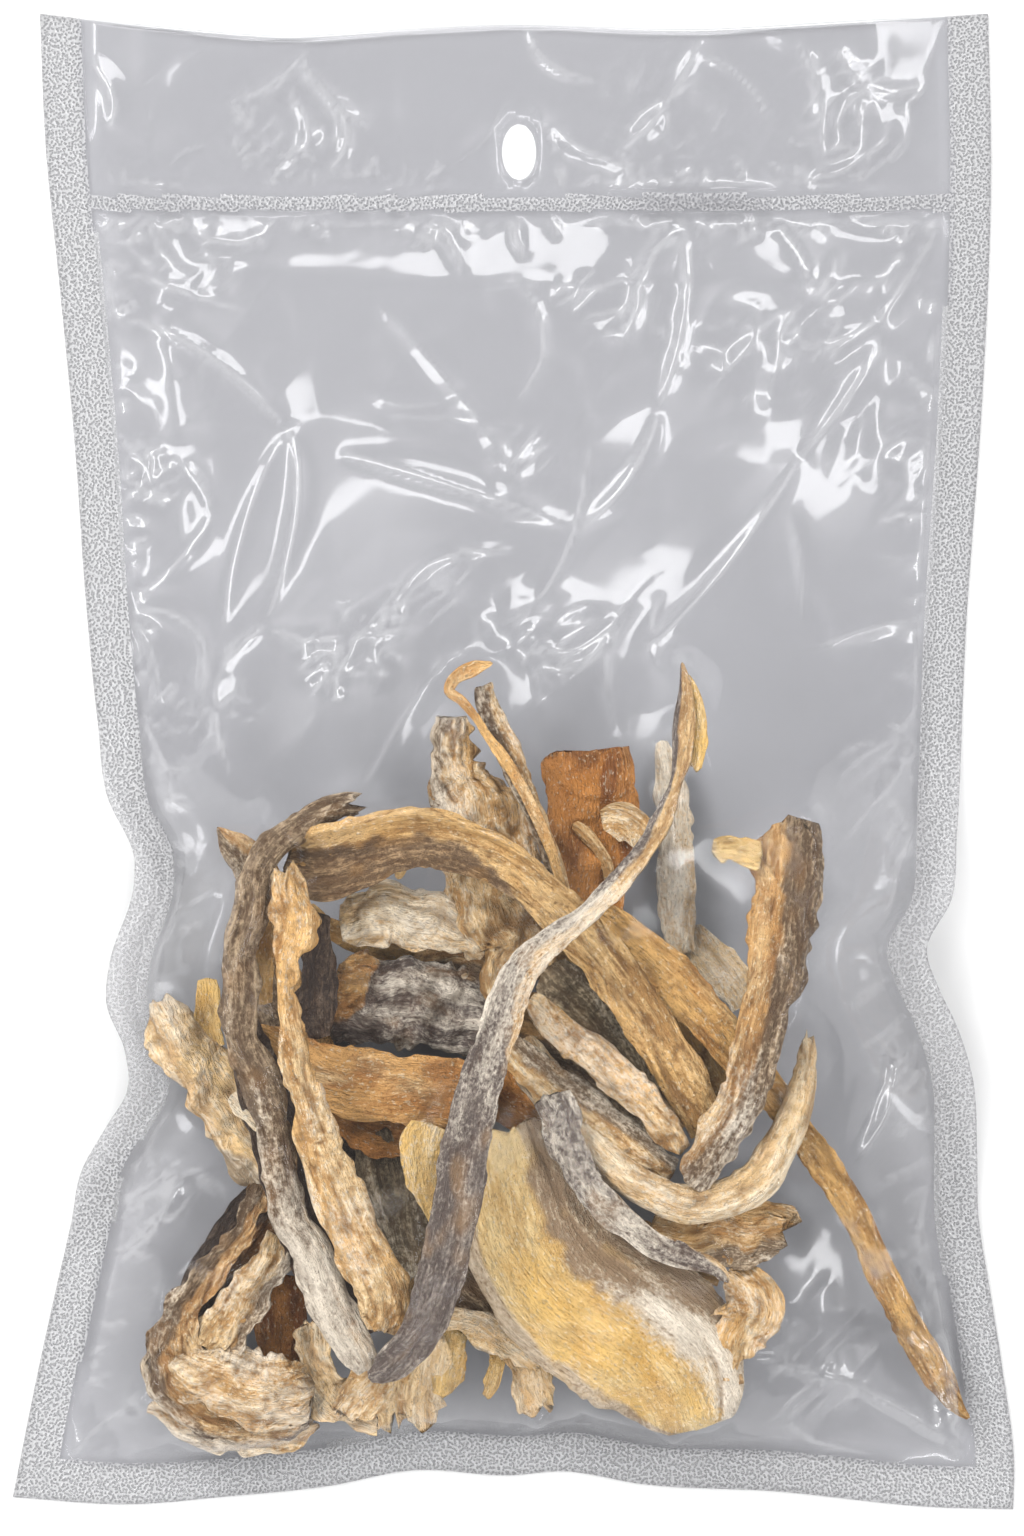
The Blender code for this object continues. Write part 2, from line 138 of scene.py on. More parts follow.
# Strips of fish. A point is x, y, z, then the half width, or the widths left and right of its way.
LONG_STRIPS = {
    "grey_diagonal": dict(
        look="slate", thick=2.0, curl=0.12, wrinkle=0.35, ragged=0.35, seed=11,
        skin=(1, -0.6, -0.5, -0.2, -0.1, 0.0, 0.1, 0.3, 1.3, 1.4, 1.4, 1.4, 1.4, 1.4),
        salt=(0.1, 0.1, 0.2, 0.4, 0.6, 0.7, 0.5, 0.25, 0.15, 0.1, 0.1, 0.1),
        roll=(0, 20, 35, 30, 20, 12, 0, 0, -6, -8, -6, 0),
        points=(
            (33.7, 19.9, 33, 0.3), (34.5, 14.3, 34, 1.5), (34.1, 6.3, 35, 2.3), (33.5, -0.7, 36, 1.9),
            (32.5, -4.7, 37, 1.3), (30.7, -9.7, 38, 2.2), (27.7, -15.7, 39, 2.3), (22.9, -22.1, 40, 2.3),
            (16.9, -28.7, 41, 2.4), (10.9, -33.7, 41.5, 2.5), (6.3, -36.9, 42, 2.9),
            (2.1, -41.3, 42.3, 3.5), (-1.1, -48.7, 42.6, 4.0), (-3.5, -55.7, 42.8, 4.1),
            (-6.1, -62.7, 43, 4.2), (-8.3, -71.1, 43, 4.7), (-10.3, -81.7, 42.5, 4.9),
            (-12.3, -92.7, 41.5, 4.8), (-14.7, -103.7, 39.5, 4.7), (-17.9, -112.7, 37, 4.4),
            (-22.3, -118.7, 34.5, 3.8), (-26.7, -122.3, 32, 2.5), (-29.1, -123.3, 31, 1.0),
        ),
    ),
    "left_loop": dict(
        look="brown", thick=3.2, curl=-0.35, wrinkle=0.8, ragged=0.5, torn=(5, 2), seed=23, folds=0.16,
        skin=(1, 1.3, 1.3, 1.3, 1.2, 1.2, 1.2, 1.1, 0.9, 0.6, 0.3, 0.1),
        amber=(0.1, 0.1, 0.45, 0.35, 0.45, 0.2, 0.0, 0.0, 0.0, 0.0),
        salt=(0.2, 0.1, 0.0, 0.0, 0.0, 0.1, 0.25, 0.6, 0.85, 0.9, 0.8),
        points=(
            (-28.3, -7.7, 30, 2.2), (-34.7, -8.9, 31, 2.8), (-41.7, -12.1, 32, 3.0),
            (-47.7, -16.7, 33, 2.9), (-51.3, -22.1, 34, 3.0), (-52.7, -31.3, 35, 3.6),
            (-54.7, -37.3, 35, 3.8), (-54.7, -43.5, 35, 4.1), (-54.7, -49.7, 35, 3.8),
            (-54.5, -55.7, 34.5, 3.8), (-51.6, -61.9, 34, 4.3), (-49.7, -67.9, 34, 4.2),
            (-47.8, -74.1, 33.5, 3.5), (-46.9, -80.3, 33, 3.6), (-45.8, -86.3, 32.5, 3.6),
            (-44.3, -92.5, 32, 3.9), (-41.7, -96.4, 31.5, 4.1), (-39.1, -102.5, 31, 4.3),
            (-36.6, -108.7, 30, 4.4), (-33.3, -114.8, 29, 4.4), (-30.4, -119.7, 28, 3.7),
            (-29.0, -123.0, 27, 1.5),
        ),
    ),
    "top_band": dict(
        look="tan", thick=2.2, curl=(0.5, 0.5, 0.35, 0.1, -0.2, -0.3), wrinkle=0.7, ragged=0.4, seed=31,
        rim=(1.9, (1.0, 1.0, 0.9, 0.5, 0.2, 0.0)), torn=(2, 1),
        skin=(1, 0.35, 0.3, 0.1, -0.6, -1.3, -1.3, -1.3, -1.3),
        amber=(0.2, 0.15, 0.1, 0.1, 0.2, 0.3, 0.2),
        points=(
            (-45.7, -18.7, 27, 2.5), (-39.7, -20.1, 29, 7.4), (-30.3, -17.7, 31, 7.2),
            (-23.5, -15.7, 32.5, 6.5), (-17.7, -15.3, 33.5, 6.0), (-10.7, -16.7, 34.3, 5.4),
            (-2.7, -20.1, 34.5, 4.6), (5.3, -26.3, 34.5, 4.5), (13.3, -34.1, 34.0, 4.9),
            (19.7, -41.7, 33, 5.1), (25.3, -49.7, 32, 5.0), (30.3, -57.7, 31, 5.0),
            (35.3, -66.7, 29.5, 4.8), (39.3, -74.7, 28, 3.6),
        ),
    ),
    "cream_upright": dict(
        look="cream", thick=3.4, curl=-0.2, wrinkle=0.6, ragged=0.9, torn=(6, 3), seed=47, crumb=0.4,
        pits=0.4, amber=(0.2, 0.5, 0.5, 0.3, 0.5, 0.35, 0.2, 0.15, 0.15, 0.3, 0.3, 0.2),
        salt=(0.3, 0.2, 0.25, 0.3, 0.3),
        points=(
            (-45.8, -18.2, 36.5, 2.0), (-45.3, -25.1, 37.5, 3.5), (-43.9, -30.0, 38, 4.9),
            (-44.0, -34.3, 38, 4.5), (-45.2, -39.2, 38.5, 3.4), (-45.5, -45.3, 38.5, 2.5),
            (-44.9, -51.5, 38.5, 2.6), (-43.7, -57.5, 38.5, 3.1), (-42.6, -63.7, 38.5, 3.3),
            (-41.1, -69.8, 38.5, 4.0), (-39.2, -75.9, 38, 4.7), (-37.1, -82.1, 37.5, 5.0),
            (-34.7, -88.4, 37, 5.2), (-32.4, -93.7, 36.5, 5.2), (-29.3, -99.9, 35.6, 5.3),
            (-26.3, -106.0, 34.4, 5.4), (-25.6, -111.5, 33, 4.8), (-27.0, -115.8, 32, 1.8),
        ),
    ),
    "right_upright": dict(
        look="brown", thick=3.6, curl=-0.25, wrinkle=0.6, ragged=0.8, torn=(5, 2), seed=59,
        groove=(-0.08, 0.9, 0.07), skin=(-1, -0.45, -0.3, -0.2, -0.1, 0.0, 0.0, 0.05, 0.0, -0.3, -0.9),
        amber=(0.5, 0.6, 0.55, 0.45, 0.35, 0.25, 0.1, 0.0, 0.0),
        salt=(0.0, 0.1, 0.1, 0.1, 0.2, 0.4, 0.5, 0.5),
        points=(
            (56.9, -9.3, 30, 5.6, 2.0), (56.5, -13.7, 31, 5.4, 5.0), (55.9, -18.5, 32, 6.6, 7.6),
            (55.3, -24.7, 33, 6.6, 7.0), (54.0, -30.8, 34, 6.4, 7.0), (53.3, -36.9, 34.5, 6.3, 6.0),
            (52.3, -43.0, 35, 6.0, 6.1), (50.6, -49.1, 35.3, 5.4, 5.2), (49.1, -55.3, 35.5, 4.9, 5.6),
            (47.7, -61.4, 35.5, 4.7, 5.0), (45.8, -67.5, 35.5, 5.0, 5.0), (43.3, -72.1, 35, 5.2, 4.8),
            (39.7, -77.7, 34.5, 5.0, 4.4), (36.9, -82.1, 34, 4.5, 3.8), (34.7, -85.3, 33.5, 2.5, 2.0),
        ),
    ),
    "lower_loop": dict(
        look="pale", thick=5.0, curl=-0.5, wrinkle=0.5, ragged=0.35, torn=(5, 2), seed=61,
        amber=(0.4, 0.3, 0.15, 0.0, 0.0, 0.0, 0.0, 0.0), salt=(0.1, 0.2, 0.3, 0.3, 0.3, 0.3, 0.3, 0.4),
        skin=(-1, 1.4, 1.4, 1.4, 1.3, 1.0, 0.8, 0.7, 0.5, 0.2), pits=0.5,
        points=(
            (58.9, -52.7, 24, 0.8), (58.7, -59.7, 26, 2.0), (57.3, -67.7, 28.5, 3.2),
            (54, -75.9, 30.5, 3.7), (49.7, -83.1, 32, 4.3), (42.3, -87.7, 32.8, 4.2),
            (35.1, -88.7, 32.8, 3.9), (28.8, -86.5, 32.4, 3.7), (22.5, -82.9, 31.5, 3.6),
            (17.8, -78.6, 30.5, 3.3), (13.9, -74.9, 29, 3.1), (10.3, -69.7, 27, 3.6), (6.3, -64.7, 25, 4),
            (2.9, -59.7, 23, 4.2), (0.5, -54.7, 21, 2.5),
        ),
    ),
    "cream_twisted": dict(
        look="cream", thick=3.6, curl=-0.35, wrinkle=0.7, ragged=0.6, torn=(3, 3), seed=67,
        amber=(0.2, 0.4, 0.3, 0.5, 0.3, 0.2), salt=(0.4, 0.5, 0.5, 0.5, 0.4), pits=0.7,
        roll=(-20, -10, 0, 15, 10, 0),
        points=(
            (3.7, -45.7, 31, 1.8), (7.5, -51.3, 31.8, 3.1), (12.5, -55.9, 32.2, 3.6),
            (17.5, -60.3, 32.5, 3.5), (22.5, -64.9, 32.7, 3.5), (27.5, -70.1, 32.7, 3.3),
            (31.3, -75, 32.3, 3.1), (33.7, -79.4, 31.4, 1.9),
        ),
    ),
    "grey_middle": dict(
        look="cream", thick=3.2, curl=-0.35, wrinkle=0.7, ragged=0.5, torn=(2, 2), seed=353,
        salt=(0.3, 0.4, 0.4), skin=(-1, 0.2, 0.0, 0.2, 0.4), amber=(0.2, 0.1, 0.1),
        points=(
            (-2.5, -54.5, 27, 2.6), (3.5, -61.5, 28, 4.2), (10.5, -67.2, 28.5, 4.6),
            (18.5, -73.4, 28.8, 4.6), (26, -78.8, 28.5, 4.2), (32.5, -83, 27.5, 2.6),
        ),
    ),
    "long_stick": dict(
        look="tan", thick=3.2, curl=(0.5, 0.5, 0.4, 0.1, -0.3, -0.4), wrinkle=0.65, ragged=0.35,
        torn=(2, 1), seed=71, amber=(0.7, 0.7, 0.65, 0.6, 0.6, 0.55, 0.5, 0.4),
        salt=(0, 0, 0, 0, 0, 0.1, 0.2),
        points=(
            (14.3, -28.7, 26.5, 2.5), (20, -33.5, 27.5, 4.4), (26, -38.5, 27.2, 4.9),
            (33, -45, 26.5, 4.9), (39.5, -52, 26, 4.5), (46, -60, 25, 4.0), (52.3, -67.5, 24, 3.5),
            (56.9, -73.5, 22, 3.3), (62.9, -81.9, 20, 3.3), (68.3, -90.9, 17, 3.0),
            (72.9, -100.8, 14, 2.9), (78.3, -111.4, 11, 3.0), (82.9, -119.4, 8.7, 3.2),
            (85.6, -124.4, 7.4, 3.0), (88.4, -128.6, 6.2, 1.7), (91.5, -131.7, 5, 0.3),
        ),
    ),
    "thin_curl": dict(
        look="cream", thick=1.1, curl=0.2, wrinkle=0.3, ragged=0.3, seed=73, amber=0.6,
        points=(
            (-4.1, 19.7, 31, 0.4), (-8.3, 18.5, 30.5, 1.7), (-12, 16.3, 30, 1.2), (-12.9, 14.3, 30, 1.0),
            (-10.4, 12.1, 30, 1.0), (-7.7, 9.0, 30, 0.9), (-5.3, 5.3, 30, 0.9), (-2.3, 1.1, 30, 1.1),
            (0.2, -2.6, 30, 1.2), (2.7, -6.9, 30, 1.2), (5.1, -11.8, 30, 1.2), (6.7, -15.5, 30, 1.2),
            (8.8, -22.2, 29, 1.0), (10.3, -27, 28, 0.8),
        ),
    ),
    "blunt_stick": dict(
        look="brown", thick=2.6, curl=-0.3, wrinkle=0.5, ragged=0.4, torn=(2, 0), seed=79,
        skin=(1, 0.2, 0.4, 0.1, -0.2, -0.5), salt=(0.3, 0.3, 0.2, 0.1),
        points=(
            (-6.3, 16.7, 26.5, 1.6), (-5.9, 13.7, 26.8, 2.1), (-4.5, 9.3, 27.3, 2.3),
            (-2.3, 4.3, 27.5, 2.6), (0.1, -0.7, 27.5, 2.4), (2.5, -6.7, 27.5, 2.0),
            (5.3, -12.7, 27.5, 1.9), (7.3, -17.7, 27, 1.8), (9.3, -24, 26.5, 1.6), (11.3, -30, 26, 1.0),
        ),
    ),
}

BROAD_PIECES = {
    "belly_slab": dict(
        look="yellow", thick=5.2, curl=-0.22, wrinkle=0.16, ragged=0.5, torn=(3, 1), seed=83,
        skin=(-1, 0.1, 0.15, 0.2, 0.2, 0.2, 0.25, 0.35, 0.6), salt=(0.1, 0.15, 0.25, 0.4, 0.8, 1.0, 0.8),
        salt_on_skin=True, amber=(0.0, 0.15, 0.35, 0.55, 0.65, 0.5, 0.2), dark_edge=0.8, wave=(0.8, 18),
        gloss=0.42, folds=0.06, groove=(0.52, 1.0, 0.05),
        points=(
            (-1.7, -71.7, 30, 8, 6), (-0.3, -76.7, 30, 9, 9), (1.3, -84.7, 29.5, 12.5, 12),
            (4.3, -94.7, 29, 14.5, 14.5), (10.3, -103.7, 28, 15.8, 15.8), (17.9, -109.7, 27, 17, 17),
            (26.3, -115.7, 25, 17, 17), (32.3, -121.7, 23, 15.3, 15.3), (35.6, -127.7, 21, 12, 12),
            (37.0, -131.7, 20, 8.5, 8.5), (37.6, -133.7, 19.5, 6, 6),
        ),
    ),
    "crumbly_flesh": dict(
        look="cream", thick=4.0, curl=-0.2, wrinkle=0.9, crumple=2.4, ragged=1.2, torn=(3, 3), seed=89,
        folds=0.16, crumb=0.8, skin=(1, -0.2, -0.4, -0.6, -0.9, -1.3, -1.3, -1.3),
        amber=(0.1, 0.2, 0.3, 0.2, 0.15), salt=(0.4, 0.5, 0.5, 0.4, 0.3), pits=0.6,
        points=(
            (-11.1, 10.7, 21.5, 2.0), (-12.3, 4.3, 22.5, 3.8), (-10.9, -2.7, 23.5, 6.5),
            (-8.7, -7.7, 24, 8), (-6.7, -13.7, 24.5, 9), (-5.5, -19.7, 24.5, 9.5),
            (-4.2, -25.7, 24.5, 9.8), (-2.2, -31.7, 24.5, 9.3), (0.3, -36.7, 24, 7.5),
            (-1.5, -42.7, 23, 5.4), (-1.0, -48.7, 21, 4.6),
        ),
    ),
    "orange_patch": dict(
        look="amber", thick=1.4, curl=0.15, wrinkle=0.2, crumple=2.2, ragged=0.6, torn=(1.5, 3), seed=97,
        amber=(0.8, 0.9, 0.8, 0.9), wave=(2.0, 10), gloss=0.45, folds=0.04,
        points=(
            (15.1, 3.3, 17.5, 8.0), (15.4, -1.5, 17.5, 9.3), (15.8, -8, 17, 9.4), (16.1, -14, 17.5, 9.2),
            (16.0, -20, 18, 8.8), (15.0, -26, 18, 8), (13.5, -31, 18, 6),
        ),
    ),
    "orange_band": dict(
        look="brown", thick=1.8, curl=-0.1, wrinkle=0.22, crumple=1.3, ragged=0.5, torn=(2, 2), seed=101,
        amber=(0.8, 0.8, 0.75, 0.8, 1.0), wave=(1.2, 14), gloss=0.5, folds=0.05,
        points=(
            (-54.7, -54.2, 22, 2.6), (-49.7, -56.7, 22.5, 4.4), (-41.7, -61.4, 23, 6.2),
            (-33.7, -64.3, 23, 7.0), (-22.7, -65.3, 23, 7.1), (-12.7, -66.1, 23, 7.3),
            (-6.7, -66.7, 22, 6.0), (-2.7, -67.0, 21, 3.0),
        ),
    ),
    "knobby_skin": dict(
        look="slate", thick=3.2, curl=-0.3, wrinkle=0.7, crumple=2.6, ragged=1.4, torn=(2, 3), seed=103,
        crumb=0.5, skin=(1, -0.8, -0.4, 1.3, 1.4, 1.4, 1.3, 1.2), amber=(1.0, 1.0, 0.5, 0.2, 0.2),
        salt=(0, 0.2, 0.5, 0.5, 0.4),
        lumps=(
            (-24.1, -43.9, 3.6), (-17.4, -47.9, 3.2), (-24.7, -53.3, 3.2), (-20.3, -43.3, 2.4),
            (-12.9, -44.5, 3.0), (-18.7, -53.5, 2.6), (-28.9, -48.3, 2.2), (-12.7, -51.9, 2.8),
        ),
        points=(
            (-37.7, -47.0, 18, 6.5), (-34.7, -47.5, 19, 9.0), (-29.7, -48, 20, 9.2),
            (-23.7, -48, 20.5, 9.0), (-17.7, -48.7, 20.5, 9.0), (-11.7, -50, 20, 9.0),
            (-6.7, -51, 19, 8.0), (-2.7, -52, 18, 5.0),
        ),
    ),
    "left_lump": dict(
        look="pale", thick=5.5, curl=-0.45, wrinkle=0.5, crumple=2.4, ragged=1.2, torn=(3, 2), seed=107,
        crumb=0.4, amber=(0.3, 0.35, 0.4, 0.4, 0.3, 0.3), salt=(0.5, 0.4, 0.3, 0.3, 0.2, 0.2),
        skin=(1, -1.4, -1.4, -1.3, -1.0, -0.3, 0.2),
        points=(
            (-70.7, -46.2, 14.5, 2.5), (-68.3, -52.2, 16, 5.4), (-65.3, -57.7, 16.5, 6.0),
            (-61.8, -63.7, 16.5, 6.0), (-59.3, -69.7, 16, 5.4), (-55.7, -75.7, 15.5, 5.0),
            (-50.3, -81.7, 15, 4.2), (-46.3, -86.0, 14, 2.5),
        ),
    ),
    "fold_outer": dict(
        look="brown", thick=3.4, curl=(0.4, 0.5, 0.5, 0.3, 0.0, -0.3, -0.3), wrinkle=0.9, crumple=1.2,
        ragged=0.9, torn=(3, 3), seed=109, folds=0.2, crumb=0.7,
        skin=(1, 0.1, 0.1, 0.2, -0.2, -0.6, -0.9, -0.5), amber=(0.3, 0.3, 0.35, 0.35, 0.3, 0.3),
        salt=(0.1, 0.1, 0.2, 0.3, 0.45, 0.45, 0.4),
        points=(
            (-49.7, -84.2, 18.5, 2.2), (-54.9, -93.9, 18.5, 2.7), (-60.5, -101.9, 17.5, 2.9),
            (-66.0, -109.7, 16, 3.8), (-68.2, -118.7, 14.5, 5.2), (-65.2, -126.3, 13, 6.2),
            (-56.7, -129.7, 12.5, 6.4), (-46.7, -130.7, 12.5, 5.8), (-39, -129.5, 12, 3.8),
        ),
    ),
    "fold_inner": dict(
        look="cream", thick=3.2, curl=0.25, wrinkle=0.9, crumple=2.0, ragged=0.9, torn=(3, 3), seed=113,
        folds=0.2, crumb=0.8, skin=(-1, 0.6, 0.4, 0.3, 0.4, 0.5), salt=(0.4, 0.5, 0.5, 0.4, 0.3),
        amber=(0.1, 0.1, 0.2, 0.3),
        points=(
            (-45.2, -94.0, 17.5, 3.0), (-49.0, -101.2, 17.5, 3.9), (-53.7, -108.2, 17, 4.4),
            (-57.6, -114.6, 16, 5.2), (-59.9, -119.7, 14.5, 3.6),
        ),
    ),
    "fold_mass": dict(
        look="cream", thick=4.2, curl=-0.25, wrinkle=0.8, crumple=1.5, ragged=1.5, torn=(3, 5), seed=397,
        folds=0.18, crumb=0.4, pits=0.5, salt=(0.5, 0.5, 0.6, 0.5), amber=(0.1, 0.05, 0.1, 0.15, 0.1),
        points=(
            (-70.0, -119.5, 13.5, 3.5), (-64.9, -122.0, 15.5, 6.0), (-58.0, -124.6, 17, 7.2),
            (-50.7, -126.0, 17, 7.8), (-44.0, -126.0, 16, 6.4), (-38.6, -124.4, 15, 3.6),
        ),
    ),
    "fold_tip": dict(
        look="cream", thick=3.4, curl=-0.3, wrinkle=0.7, crumple=1.6, ragged=0.9, torn=(1, 3), seed=127,
        crumb=0.7, salt=(0.6, 0.8, 0.6, 0.4), amber=(0.3, 0.1, 0.1, 0.2),
        points=(
            (-73.7, -128.3, 9.5, 1.0), (-67.9, -130.7, 10, 3), (-60.7, -133.1, 10.2, 3.9),
            (-50.7, -134.5, 10.2, 4), (-42.7, -133.5, 10.2, 3.4), (-37.7, -131.5, 10, 1.6),
        ),
    ),
    "under_belly_skin": dict(
        look="slate", thick=1.8, curl=0.3, wrinkle=0.5, ragged=0.5, torn=(4, 1), seed=131,
        skin=(1, 1.4, 1.4, 1.3, 1.2, 0.9, 0.3), salt=(0.45, 0.45, 0.45, 0.4, 0.3),
        points=(
            (5.9, -64.7, 33.5, 3.6), (9.3, -70.7, 34, 4.3), (11.3, -77.7, 34, 3.8),
            (14.3, -83.7, 33.5, 3.2), (18.3, -88.7, 33, 3.2), (23.7, -93.3, 32.5, 3),
            (30.3, -97.7, 32, 2.6), (37.3, -100.3, 31.5, 2), (41.7, -102.3, 31.8, 1.4),
            (43.1, -104.5, 32.5, 0.7),
        ),
    ),
    "fuzzy_grey": dict(
        look="olive", thick=2.6, curl=-0.2, wrinkle=0.9, crumple=1.0, ragged=0.8, torn=(2, 2), seed=137,
        skin=(1, 1.3, 1.3, 1.3, 1.3), salt=(0.25, 0.3, 0.3, 0.2),
        points=(
            (6, -41, 23.5, 3.5), (11, -46, 24, 5.5), (16, -51, 24, 6.5), (21, -57, 23.5, 6.3),
            (25.3, -64, 22, 4.6), (27.5, -69, 20.5, 2.5),
        ),
    ),
    "olive_piece": dict(
        look="olive", thick=2.6, curl=-0.25, wrinkle=0.8, crumple=1.0, ragged=0.7, torn=(2, 2), seed=139,
        skin=(1, 1.3, 1.3, 1.3, 1.3), salt=(0.0, 0.2, 0.3, 0.2),
        points=(
            (-27, -72, 17, 5), (-25.5, -80, 17, 6.8), (-23.5, -89, 16, 7.2), (-21.5, -98, 15, 6.2),
            (-20, -105, 14, 4),
        ),
    ),
}

